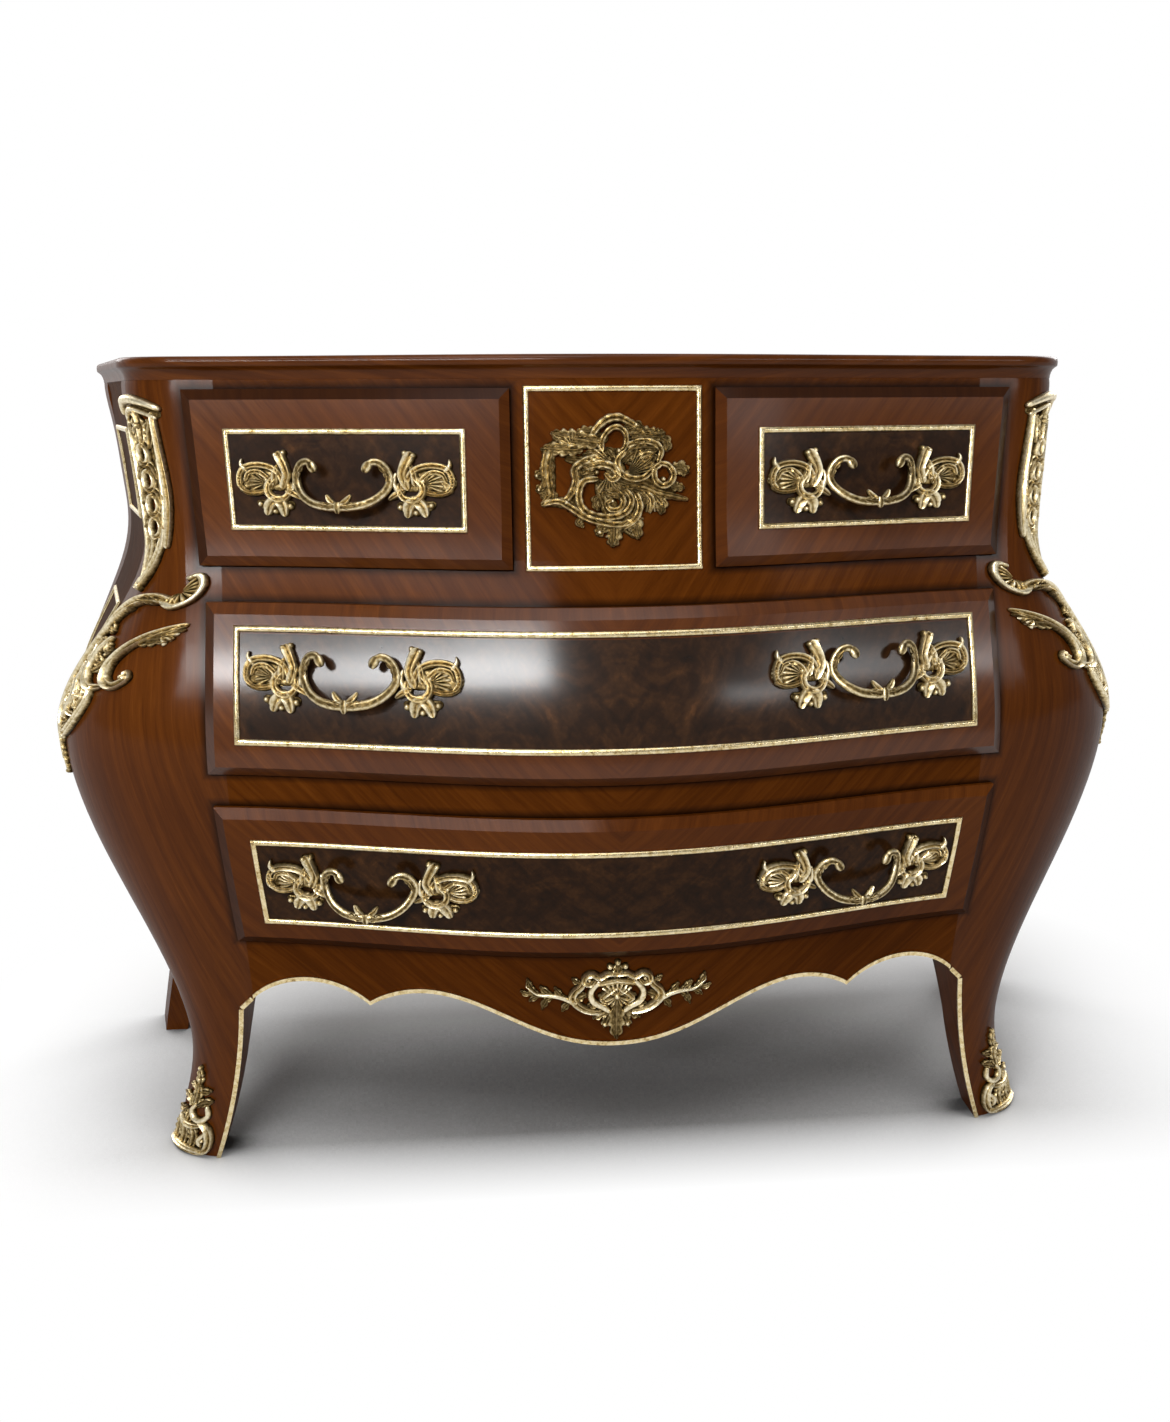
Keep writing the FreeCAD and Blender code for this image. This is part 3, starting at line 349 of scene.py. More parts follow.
def panelled_veneer(name, string, gloss, stain_and_shade, crest_shade):
    """The veneer of a drawer front, with a dark burr inside its string frame and painted shade on its
    bevels.

    The bevel along the upper edge has its own share of painted shade.
    """
    paint = Paint(name)
    where, outward, z, grain = grain_space(paint, GRAIN_ANGLE)
    matched = paint.join(outward, 0, z)
    cloud = paint.noise(matched, 22, 5, 0.62, 1.6)
    knots = paint.noise(matched, 130, 3, 0.6, 0.8)
    flow = paint.noise(paint.stretch(grain, BURR_FLOW), 1, 3, 0.6, 1.2)
    burr = paint.ramp(paint.weighted((cloud, 0.5), (knots, 0.22), (flow, 0.28)), BURR_BROWN)
    border = veneer_colour(paint, where, grain, RED_BROWN)
    inside = paint.math("LESS_THAN", outside(paint, outward, z, string), -STRING_WIDTH / 2 / METRE)
    wood = paint.mix(inside, border, burr)
    # Painted shade: bevels turned away from the front darken by their normal, the upper bevel by its own
    # share
    facing = paint.parts(paint.node("NewGeometry", output="True Normal"))
    bevel_shade = paint.span(facing[1], -0.84, -0.72, 0, 1)
    bevel_shade = paint.math("MULTIPLY", bevel_shade, paint.span(facing[2], 0.42, 0.5, stain_and_shade, crest_shade))
    return lacquered(paint, paint.mix(bevel_shade, wood, BEVEL_SHADE_BROWN), gloss)


def top_veneer():
    """The top's veneer, its grain along the chest."""
    paint = Paint("top_veneer")
    where, x, y, z = paint.place()
    grain = (x, paint.math("SUBTRACT", y, z))
    return lacquered(paint, veneer_colour(paint, where, grain, RED_BROWN), TOP_GLOSS)


def timber(name, axis):
    """Bare wood of the case and the drawer boxes, its grain along x, y or z as axis 0, 1 or 2."""
    paint = Paint(name)
    ways = paint.place()[1:]

    def figure(waves, *character):
        lengthwise, across = waves
        scales = [lengthwise if i == axis else across for i in range(3)]
        return paint.noise(paint.stretch(ways, scales), 1, *character)

    rings = figure(RINGS, 4, 0.6, 0.4)
    fibre = figure(FIBRE, 2, 0.6)
    paint.use("Base Color", paint.ramp(paint.weighted((rings, 0.7), (fibre, 0.3)), BARE_WOOD))
    paint.use("Roughness", paint.span(fibre, 0.3, 0.7, 0.7, 0.5))
    paint.use("Specular IOR Level", 0.3)
    paint.bump(fibre, 0.2, 0.0005)
    return paint.material


def metal(paint, shade, roughness):
    paint.use("Base Color", shade)
    paint.use("Metallic", 1)
    paint.use("Roughness", roughness)
    return paint.material


def cast_brass():
    """Cast brass with dark patina in its recesses and rubbed, pale high spots."""
    paint = Paint("cast_brass")
    where = paint.place()[0]
    relief = paint.node("Attribute", output="Fac", attribute_name="relief")
    stain_and_shade = paint.noise(where, 260, 4, 0.65)
    worn = paint.math("ADD", relief, paint.span(stain_and_shade, 0.3, 0.7, -0.3, 0.22))
    paint.bump(paint.noise(where, 1900, 2, 0.6), 0.25, 0.0003)
    return metal(paint, paint.ramp(worn, CAST_SHADES), paint.span(worn, 0, 1, 0.6, 0.34))


def string_brass():
    """Polished brass strip with small dull spots along it."""
    paint = Paint("brass_stringing")
    where = paint.place()[0]
    spots = paint.noise(where, 170, 3, 0.7)
    scratches = paint.noise(where, 900, 2, 0.6)
    paint.bump(scratches, 0.15, 0.0002)
    return metal(paint, paint.ramp(spots, STRING_SHADES), paint.span(scratches, 0.3, 0.7, 0.2, 0.36))


def bolt_brass():
    """Turned brass of the bolts and nuts."""
    paint = Paint("fasteners")
    marks = paint.noise(paint.place()[0], 700, 3, 0.6)
    return metal(paint, paint.ramp(marks, BOLT_SHADES), paint.span(marks, 0.3, 0.7, 0.3, 0.5))


CAST = cast_brass()
STRINGING = string_brass()
TOP = top_veneer()

# The finish of the nodes by how their names end; the last row is for all that are left
FINISHES = (
    # A drawer front's last two numbers are the painted shade on its bevels and on its upper bevel
    (("top_left_drawer_front", "top_right_drawer_front"),
     panelled_veneer("top_drawer_veneer", TOP_STRING, 0.2, 0.8, 0.8)),
    ("middle_drawer_front", panelled_veneer("middle_drawer_veneer", MIDDLE_STRING, 0.6, 0.5, 0)),
    ("lower_drawer_front", panelled_veneer("lower_drawer_veneer", LOWER_STRING, 0.16, 0.6, 0)),
    ("top_board", TOP),
    (("_rail", "_apron", "centre_panel"), veneer("diagonal_veneer", GRAIN_ANGLE, 0.03)),
    # The side panels take the darker copy of the red-brown: painted shade
    ("_side_panel", veneer("side_veneer_painted_shade", UPRIGHT_ANGLE, 0.02, SIDE_PAINTED_SHADE_BROWN)),
    ("_post", veneer("upright_veneer", UPRIGHT_ANGLE, 0.16)),
    ("_banding", STRINGING),
    ("_bolts", bolt_brass()),
    (("_mount", "_sabot", "_cartouche", "_pull"), CAST),
    (("_sides", "_guides", "_partitions"), timber("depth_timber", 1)),
    ("back_panel", timber("back_timber", 2)),
    ("", timber("cross_timber", 0)),
)

for name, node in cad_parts.items():
    node.data.materials.clear()
    node.data.materials.append(next(finish for ending, finish in FINISHES if name.endswith(ending)))


# Pieces: skins over rings of points

def skin(first, count, total, closed=False):
    """Faces over rings of points from the first on; the rings run in a loop, or have capped ends."""
    faces = []
    for i in range(total if closed else total - 1):
        here = first + i * count
        there = first + (i + 1) % total * count
        for k in range(count):
            following = (k + 1) % count
            faces.append((here + k, here + following, there + following, there + k))
    if not closed:
        last = first + (total - 1) * count
        faces.append(tuple(reversed(range(first, first + count))))
        faces.append(tuple(range(last, last + count)))
    return faces


def new_piece(name, points, faces, material, body, nodes, sharp):
    """A piece that rides a body and stands for CAD nodes; edges over `sharp` degrees stay sharp."""
    mesh = bpy.data.meshes.new(name)
    mesh.from_pydata(points, [], faces)
    work = bmesh.new()
    work.from_mesh(mesh)
    bmesh.ops.recalc_face_normals(work, faces=work.faces)
    work.to_mesh(mesh)
    work.free()
    mesh.shade_smooth()
    mesh.set_sharp_from_angle(angle=radians(sharp))
    mesh.materials.append(material)
    piece = bpy.data.objects.new(name, mesh)
    scene.collection.objects.link(piece)
    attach(piece, body)
    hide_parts(*nodes)
    return piece


def both_sides(half, middle=0):
    """A profile and its mirror image about its last point."""
    return half + [(2 * middle - s, h) for s, h in reversed(half[:-1])]


# Cast ornament: bands, leaves, fans, beads and rods on a surface map

ROLL = [(-1, 0), (-0.93, 0.52), (-0.68, 0.84), (-0.34, 0.97), (0, 1)]
CHANNEL = [(-1, 0), (-0.95, 0.62), (-0.7, 1), (-0.4, 0.84), (0, 0.42)]
GROUND = [(-1, 0), (-0.85, 0.3), (-0.55, 0.42), (-0.3, 0.25), (0, 0.42)]
REEDS = [(-1, 0), (-0.9, 0.6), (-0.68, 0.85), (-0.42, 0.5), (-0.28, 0.72), (0, 1)]
LEAF_SLOTS = (-1, -0.92, -0.78, -0.5, -0.22, -0.1, 0, 0.1, 0.22, 0.5, 0.78, 0.92, 1)
FAN_SHARES = (0.12, 0.35, 0.6, 0.8, 0.94, 1)
BEAD_SHARES = (0, 0.25, 0.5, 0.72, 0.9, 0.99)
END_ROUNDING = [(sin(a), cos(a)) for a in (radians(k) for k in (30, 60, 82))]
LEVEL = (0, 0, 0)
BAND_STEPS = 7
ROD_STEPS = 8
ROD_SIDES = 14
BEAD_SIDES = 12
FAN_STEPS_PER_RIB = 6
CAST_SHARP = 50

# Shares taken off between the lobes of a band, a leaf and a fan, and in the groove of a rod
NOTCH_WIDTH = 0.12
NOTCH_HEIGHT = 0.15
NOTCH_SHADE = 0.28
LEAF_NOTCH = 0.38
FAN_NOTCH = 0.16
ROD_GROOVE = 0.2


def smooth_path(points, steps):
    """Points on a smooth curve through the given points."""
    ends = [points[0]] + list(points) + [points[-1]]
    result = []
    for i in range(len(points) - 1):
        p0, p1, p2, p3 = (Vector(p) for p in ends[i:i + 4])
        for k in range(steps):
            t = k / steps
            result.append(0.5 * (2 * p1 + (p2 - p0) * t + (2 * p0 - 5 * p1 + 4 * p2 - p3) * t ** 2
                                 + (3 * p1 - p0 - 3 * p2 + p3) * t ** 3))
    result.append(Vector(points[-1]))
    return result


def course(path, steps):
    """The share of the way, the point and the direction at each step of a smooth path."""
    line = smooth_path(path, steps)
    last = len(line) - 1
    return [(i / last, point, (line[min(i + 1, last)] - line[max(i - 1, 0)]).normalized())
            for i, point in enumerate(line)]


def between(values, t):
    """A start, middle and end value blended at t from 0 to 1."""
    start, middle, end = values
    return start * (1 - t) * (1 - 2 * t) + 4 * middle * t * (1 - t) + end * t * (2 * t - 1)


def round_ends(t):
    """How far rings run on past a band's point, and their share of its width, to round its ends."""
    if t == 0:
        return [(-reach, share) for reach, share in reversed(END_ROUNDING)] + [(0, 1)]
    return [(0, 1)] + END_ROUNDING if t == 1 else [(0, 1)]


class Casting:
    """One cast ornament: closed shapes with a relief value at each point; sign -1 mirrors those added."""

    def __init__(self, place):
        self.place = place
        self.sign = 1
        self.points = []
        self.faces = []
        self.relief = []

    def add(self, rings):
        """Rings of points, each given as (u, v, w) and a relief value, joined into a closed skin."""
        self.faces += skin(len(self.points), len(rings[0]), len(rings))
        for ring in rings:
            self.points.extend(self.place(self.sign * u, v, w) for (u, v, w), value in ring)
            self.relief.extend(value for point, value in ring)

    def band(self, path, widths, heights, section=CHANNEL, lifts=LEVEL, notch=0):
        """A moulded band along (u, v) points; half widths, heights and lifts at start, middle and end.

        Notches cut its edges into small lobes, each of the length given as notch.
        """
        line = course(path, 2 * BAND_STEPS if notch else BAND_STEPS)
        before = line[0][1]
        length = 0
        profile = both_sides(section)
        rings = []
        for t, point, tangent in line:
            across = Vector((-tangent.y, tangent.x))
            length += (point - before).length
            before = point
            valley = 1 - abs(sin(pi * length / notch)) if notch else 0
            width = max(0.35, between(widths, t)) * (1 - NOTCH_WIDTH * valley)
            height = max(0.5, between(heights, t)) * (1 - NOTCH_HEIGHT * valley)
            lift = max(0, between(lifts, t))
            for stretch, share in round_ends(t):
                middle = point + tangent * (stretch * width)
                ring = []
                for s, h in profile:
                    edge = middle + across * (s * width * share)
                    relief = (0.1 + 0.9 * h) * (1 - NOTCH_SHADE * valley) if h > 0 else 0
                    ring.append(((*edge, lift + h * height * (0.4 + 0.6 * share)), relief))
                rings.append(ring)
        self.add(rings)

    def leaf(self, path, width, height, lobes, lifts=LEVEL):
        """A lobed leaf along (u, v) points with a raised midrib and a vein in each lobe."""
        rings = []
        for t, point, tangent in course(path, max(5, BAND_STEPS * lobes // (len(path) - 1))):
            across = Vector((-tangent.y, tangent.x))
            lobe = abs(cos(pi * lobes * t))
            swell = max(0.06, sin(pi * (0.12 + 0.88 * t)) ** 0.8)
            reach = swell * (1 - LEAF_NOTCH * (1 - lobe)) * width
            lift = max(0, between(lifts, t))
            ring = []
            for s in LEAF_SLOTS:
                inner = abs(s) < 1
                rib = max(0, 1 - abs(s) / 0.2)
                rim = max(0, 1 - abs(abs(s) - 0.8) / 0.3) * (0.4 + 0.6 * lobe)
                shape = 0.42 + 0.45 * rim + 0.5 * rib if inner else 0
                relief = min(1, 0.34 + 0.5 * rim + 0.6 * rib) if inner else 0
                swept = point + across * (s * reach) + tangent * (0.5 * reach * s * s)
                ring.append(((*swept, lift + shape * height), relief))
            rings.append(ring)
        self.add(rings)

    def fan(self, centre, direction, radius, spread, ribs, height):
        """A shell-like fan of ribs about a centre; direction and spread in degrees."""
        count = ribs * FAN_STEPS_PER_RIB
        rings = []
        for k in range(count + 1):
            ridge = abs(sin(pi * ribs * k / count))
            angle = radians(direction - spread / 2 + spread * k / count)
            arm = Vector((cos(angle), sin(angle))) * (radius * (1 - FAN_NOTCH * (1 - ridge)))
            ring = []
            for share in FAN_SHARES:
                rise = height * (0.2 + 0.8 * ridge) * sin(pi * (0.18 + 0.7 * share))
                ring.append(((*(Vector(centre) + arm * share), rise), 0.12 + 0.88 * ridge))
            for share in (FAN_SHARES[-1], FAN_SHARES[0]):
                ring.append(((*(Vector(centre) + arm * share), 0), 0))
            rings.append(ring)
        self.add(rings)

    def bead(self, centre, radius, height):
        """A low round boss."""
        u, v = centre
        turns = [2 * pi * k / BEAD_SIDES for k in range(BEAD_SIDES)]
        rings = []
        for share in BEAD_SHARES:
            reach = radius * cos(share * pi / 2)
            rise = height * sin(share * pi / 2)
            relief = 0.1 + 0.9 * share
            rings.append([((u + reach * cos(turn), v + reach * sin(turn), rise), relief) for turn in turns])
        self.add(rings)

    def rod(self, path, radii):
        """A grooved round rod along (u, v, w) points."""
        rings = []
        for t, point, tangent in course(path, ROD_STEPS):
            side = tangent.cross(Vector((0, 0, 1))).normalized()
            up = side.cross(tangent)
            radius = max(0.4, between(radii, t))
            ring = []
            for turn in (2 * pi * k / ROD_SIDES for k in range(ROD_SIDES)):
                groove = 1 - ROD_GROOVE * exp(-((turn - pi / 2) / 0.42) ** 2)
                offset = side * cos(turn) + up * sin(turn)
                relief = 0.55 + 0.45 * sin(turn) if groove > 0.95 else 0.3
                ring.append((tuple(point + offset * (radius * groove)), relief))
            rings.append(ring)
        self.add(rings)

    def fill(self, bands=(), leaves=(), fans=(), beads=(), notch=0):
        """Adds listed bands, leaves, fans and beads."""
        for band in bands:
            self.band(*band, notch=notch)
        for leaf in leaves:
            self.leaf(*leaf)
        for fan in fans:
            self.fan(*fan)
        for bead in beads:
            self.bead(*bead)

    def build(self, name, body, node):
        """The ornament as a piece that rides a body and stands for a CAD node."""
        piece = new_piece(name, self.points, self.faces, CAST, body, [node], CAST_SHARP)
        attribute = piece.data.attributes.new("relief", "FLOAT", "POINT")
        attribute.data.foreach_set("value", self.relief)


def strokes(*rows):
    """Bands or leaves whose paths are written as "u,v u,v", with their sizes."""
    return [([tuple(map(float, point.split(","))) for point in path.split()], *sizes)
            for path, *sizes in rows]


# Brass stringing: mitred frames of half-round strip, and the strip that joins the apron's to the leg's

STRING_PROFILE = [(0.6, -0.3), (0.6, 0.7), (1.1, 1.4), (1.7, 1.9), (2.5, 2.35), (3.5, 2.5)]
STRING_SHARP = 40
SHORT_SAMPLES = 40
SIDE_SAMPLES = 24
WIDE_SAMPLES = 64
STRIP_PROFILE = [(0, -0.4), (0, 2.4), (5, 2.4), (5, -0.4)]
STRIP_JOIN = (387, 211.5)
LEG_KNEE = (400, 198)
STRIP_SLANT = 0.7
STRIP_SHARP = 30


def inset_corners(corners, distance):
    """The corners of a four-sided outline drawn in by a distance."""
    result = []
    for i in range(4):
        before = (corners[i] - corners[i - 1]).normalized()
        after = (corners[(i + 1) % 4] - corners[i]).normalized()
        inward = (Vector((-before.y, before.x)) + Vector((-after.y, after.x))).normalized()
        cosine = Vector((-before.y, before.x)).dot(inward)
        result.append(corners[i] + inward * (distance / cosine))
    return result


def frame_corners(string):
    low, high, wide_low, wide_high, inner = string
    left_low = -wide_low if inner is None else inner
    left_high = -wide_high if inner is None else inner
    return [Vector(p) for p in ((left_low, low), (wide_low, low), (wide_high, high), (left_high, high))]


def string_frames(name, strings, place, body, node, samples=SHORT_SAMPLES):
    """Frames of strip on one surface map, made into one piece."""
    profile = both_sides(STRING_PROFILE, STRING_WIDTH / 2)
    points = []
    faces = []
    for string in strings:
        faces += skin(len(points), len(profile), 4 * samples, True)
        lines = [(inset_corners(frame_corners(string), inset), height) for inset, height in profile]
        for i in range(4):
            for k in range(samples):
                for inner, height in lines:
                    point = inner[i].lerp(inner[(i + 1) % 4], k / samples)
                    points.append(place(point.x, point.y, height))
    new_piece(name, points, faces, STRINGING, body, [node], STRING_SHARP)


def strip_link(side, label):
    place = on_front(0, 0, 0, side)
    points = []
    for x, z in (STRIP_JOIN, LEG_KNEE):
        for across, height in STRIP_PROFILE:
            points.append(place(x + STRIP_SLANT * across, z + STRIP_SLANT * across, height))
    new_piece(label + "_strip_link", points, skin(0, len(STRIP_PROFILE), 2), STRINGING,
              "carcass", [], STRIP_SHARP)


for side, label in SIDES:
    string_frames("top_%s_string" % label, [TOP_STRING], on_front(0, 0, LIP_FACE, side),
                  "top_%s_drawer" % label, "top_%s_drawer_banding" % label)
    front_end, rear_end = SIDE_STRING_Y
    side_strings = [(*string[:2], rear_end, rear_end, front_end)
                    for string in (TOP_STRING, MIDDLE_STRING, LOWER_STRING)]
    string_frames("%s_side_strings" % label, side_strings, on_side(side),
                  "carcass", "%s_side_banding" % label, SIDE_SAMPLES)
    strip_link(side, label)
for label, string in (("middle", MIDDLE_STRING), ("lower", LOWER_STRING)):
    string_frames(label + "_string", [string], on_front(0, 0, LIP_FACE),
                  label + "_drawer", label + "_drawer_banding", WIDE_SAMPLES)
string_frames("centre_string", [CENTRE_STRING], on_front(0, 0), "carcass", "centre_panel_banding")


# The top: a board with a rounded upper edge and a hollow moulding under it, as overhang and rise

TOP_UNDERSIDE = 858
TOP_EDGE = [(0.3, 0), (0.5, 3), (1.2, 6), (2.6, 9), (4.6, 11), (6.3, 12.2), (7, 13.2), (7, 17),
            (6.5, 19.4), (5.2, 21.1), (3.4, 21.8), (2, 22)]
TOP_SHARP = 35


def top_outline():
    """The case's outline in plan under the top, from the right rear round the front to the left rear."""
    z = TOP_UNDERSIDE
    turn = post_point(0, z)
    side = [Vector((side_x(y, z), y)) for y in (BACK_Y + (turn.y - BACK_Y) * k / 8 for k in range(9))]
    corner = [post_point(-2 * k, z).xy for k in range(1, 60)]
    corner = [p for p in corner if p.x > POST_FLAT_X]
    front = [Vector((x, front_y(x, z))) for x in (POST_FLAT_X * (1 - k / 30) for k in range(31))]
    right = side + corner + front
    return right + [Vector((-p.x, p.y)) for p in reversed(right[:-1])]


def moulded_top():
    plan = top_outline()
    count = len(plan)
    normals = []
    for i in range(count):
        step = plan[min(i + 1, count - 1)] - plan[max(i - 1, 0)]
        normals.append(Vector((-step.y, step.x)).normalized())
    points = []
    for overhang, rise in TOP_EDGE:
        for p, normal in zip(plan, normals):
            edge = p + normal * overhang
            points.append(final(Vector((edge.x, min(edge.y, BACK_Y), TOP_UNDERSIDE + rise))))
    faces = skin(0, count, len(TOP_EDGE))
    new_piece("moulded_top", points, faces, TOP, "carcass", ["top_board"], TOP_SHARP)


moulded_top()


# Pulls: a leaf plate at each end of a scrolled grip; (u, v) is measured from the pull's centre

PLATE_BANDS = strokes(
    ("61,3 66,12 75,17 87,18.5 98,16 103.5,9 104,0 100,-5", (3, 3.4, 2.4), (5, 7, 5)),
    ("60,1 74,4 88,5 100,3", (7, 10, 8), (2.5, 3.4, 2.5), GROUND),
    ("72,-3 76,6 85,12 95,10.5 98.5,4", (2, 2.8, 1.8), (4, 6, 4)),
    ("70,6 76,-1 75,-9 68,-14 59,-13 54,-7 54,0", (3.2, 3.8, 2.4), (5, 7, 5)),
    ("78,-6 86,-8 95,-8 103,-5", (2.8, 3, 2), (4, 6, 4), REEDS),
    ("50,10 48.5,3 51,-5", (2, 3, 2.4), (4, 6, 5), ROLL),
    ("60,0 56.5,9 59,18 63,26", (4.8, 4.8, 6.2), (5, 7.5, 6.5)),
    ("69,3 68,11 65,19", (4, 3.4, 1.4), (5, 6.5, 4)),
    ("98,14 102,19 101.5,24", (2.6, 2.2, 0.8), (6, 6.5, 4), ROLL),
    ("56,-6 50,-9 44,-13", (3.2, 3.4, 1.6), (5, 6, 4)),
    ("66,-15 62,-20 61,-26", (5.6, 6.4, 4.8), (5, 6, 4)),
    ("70,-15 75,-20 77,-25", (5.4, 6.4, 5), (5, 6, 4)),
    ("54,-19 69,-22 84,-18", (4, 6.5, 4), (5, 7, 5), GROUND),
    ("3,-20 8,-16 11,-12", (2.2, 3, 1.8), (4, 4, 3), CHANNEL, (20, 19, 18)),
)
PLATE_FANS = [((99, 4), 0, 9, 130, 5, 6.5), ((77, 1), 18, 19, 96, 6, 5.5)]
PLATE_BEADS = [((59.5, 30), 3.4, 6.5), ((67.5, 28), 3.2, 6.5), ((54, -21), 3.6, 6.5),
               ((84, -19), 3.4, 6.5), ((69, -26), 3.2, 6.5), ((77, 4), 2.8, 6)]
GRIP_HALF = [(0, -22.5, 22), (12, -22, 21.5), (24, -19.5, 19), (35, -13.5, 14.5), (42.5, -5, 8.5),
             (45.5, 4, 5.5), (44, 13, 7), (39, 19.5, 10), (32, 21, 12.5), (26.5, 17, 14.5)]
GRIP_RADII = (3.4, 4.1, 3.4)
GRIP_TIP = [(29, 20, 13.5), (26, 15, 15), (24, 11, 15)]
GRIP_TIP_RADII = (3.2, 4.6, 1.8)
GRIP_DROP = [(0, -18, 22.5), (0, -24, 23.5), (0, -29, 23)]
GRIP_DROP_RADII = (2.6, 3.8, 1)
GRIP_LEAVES = strokes(("3,-22 10,-21.5 19,-19", 3.6, 3.4, 3, (23.5, 23.5, 21)),
                      ("44,3 43,11 36,19", 3.6, 3.4, 3, (7, 8, 12)))


def pull(name, centre, side, body):
    cast = Casting(on_front(*centre, LIP_FACE, side))
    for sign in (-1, 1):
        cast.sign = sign
        cast.fill(PLATE_BANDS, GRIP_LEAVES, PLATE_FANS, PLATE_BEADS)
        cast.rod(GRIP_TIP, GRIP_TIP_RADII)
    cast.rod([(-u, v, w) for u, v, w in reversed(GRIP_HALF[1:])] + GRIP_HALF, GRIP_RADII)
    cast.rod(GRIP_DROP, GRIP_DROP_RADII)
    cast.build(name, body, name.replace("_casting", ""))


for side, label in SIDES:
    pull("top_%s_pull_casting" % label, TOP_PULL, side, "top_%s_drawer" % label)
    pull("middle_%s_pull_casting" % label, MIDDLE_PULL, side, "middle_drawer")
    pull("lower_%s_pull_casting" % label, LOWER_PULL, side, "lower_drawer")


# Mounts on the middle line: bands, leaves, fans and beads about each one's centre

CARTOUCHE_NOTCH = 9
CARTOUCHE_GROUND = strokes(
    ("-66,29 -50,36 -30,38 -11,41", (4, 8, 6), (6, 9, 8), GROUND),
    ("-62,28 -62,8 -62,-16", (6, 6.5, 6), (6, 8, 6), GROUND),
    ("-64,-18 -46,-20 -32,-30", (4, 6, 5), (6, 8, 6), GROUND),
    ("-44,22 -30,20 -14,18 0,16", (4, 6, 8), (6, 9, 8), GROUND),
    ("-33,12 -37,-2 -42,-18", (5, 5.5, 5), (6, 8, 6), GROUND),
    ("0,26 2,8 6,-8", (7, 11, 10), (6, 9, 8), GROUND),
    ("14,34 28,38 46,42", (7, 8, 5), (6, 9, 6), GROUND),
    ("12,22 24,22 36,24", (6, 8, 6), (6, 9, 8), GROUND),
    ("8,4 24,0 40,-6 56,-10", (9, 8, 4), (6, 9, 6), GROUND),
    ("-14,-2 -8,-16 -2,-32", (6, 9, 9), (6, 9, 8), GROUND),
    ("12,-8 16,-22 8,-40", (8, 9, 8), (6, 9, 8), GROUND),
    ("-4,-38 0,-46 -2,-54", (10, 9, 5), (6, 9, 6), GROUND),
    ("36,-10 42,-18 44,-26", (5, 6, 4), (6, 9, 6), GROUND),
    ("10,-40 16,-46 21,-50", (6, 6, 4), (6, 8, 6), GROUND),
)
CARTOUCHE_BANDS = strokes(
    ("-21,44 -15,52 -6,58.5 4,60 13,56.5 22,51", (3.2, 4.6, 2.4), (5, 8.5, 6)),
    ("-12,28 -11,40 -4,49 4,51 11,45 11,34 5,27", (2.8, 3.2, 2.4), (5, 6.5, 5)),
    ("-62,30 -65,16 -64,0 -62,-12 -67,-20", (5, 6, 3.6), (5, 7, 5), REEDS),
    ("-68,-20 -54,-18 -42,-24 -28,-33 -12,-38 4,-40 16,-37", (3.2, 4.2, 3.4), (5, 8, 6)),
    ("-14,24 -28,20 -38,12 -37,1 -42,-11 -48,-18", (3.8, 4.4, 3.2), (5, 7, 5)),
    ("-18,3 -29,1 -34,-9 -33,-21 -26,-29 -13,-33 3,-32 13,-26 16,-16 11,-8",
     (3.4, 4.4, 2.8), (5, 8.5, 6)),
    ("-10,-11 2,-10 8,-17 5,-25 -4,-26 -8,-20 -3,-17", (3, 3.4, 2), (5, 7, 5)),
    ("-28,14 -14,17 -2,14 3,6 -3,2 -8,7", (4, 4.6, 2.2), (5, 8, 6)),
    ("10,28 3,20 5,9 16,3 28,4 37,12", (3, 4.2, 2.6), (6, 8.5, 6)),
    ("46,17 39,12 39,2 46,-4 54,-1 57,7 52,15 45,17", (3, 3.8, 3), (5, 7.5, 5)),
    ("12,34 26,38 38,36 45,29 43,20", (3.4, 3.8, 2.8), (5, 7, 5)),
    ("14,-3 28,-5 42,-11 56,-14 70,-17", (3.6, 4.4, 2.2), (5, 7.5, 4), REEDS),
    ("20,-10 24,-22 20,-34 10,-42", (3, 4.2, 3.2), (5, 8, 6)),
    ("30,-10 36,-18 34,-28", (3, 3.6, 1.8), (5, 7, 4)),
    ("22,22 31,26 40,24", (2.6, 3.2, 2), (5, 7, 5)),
)
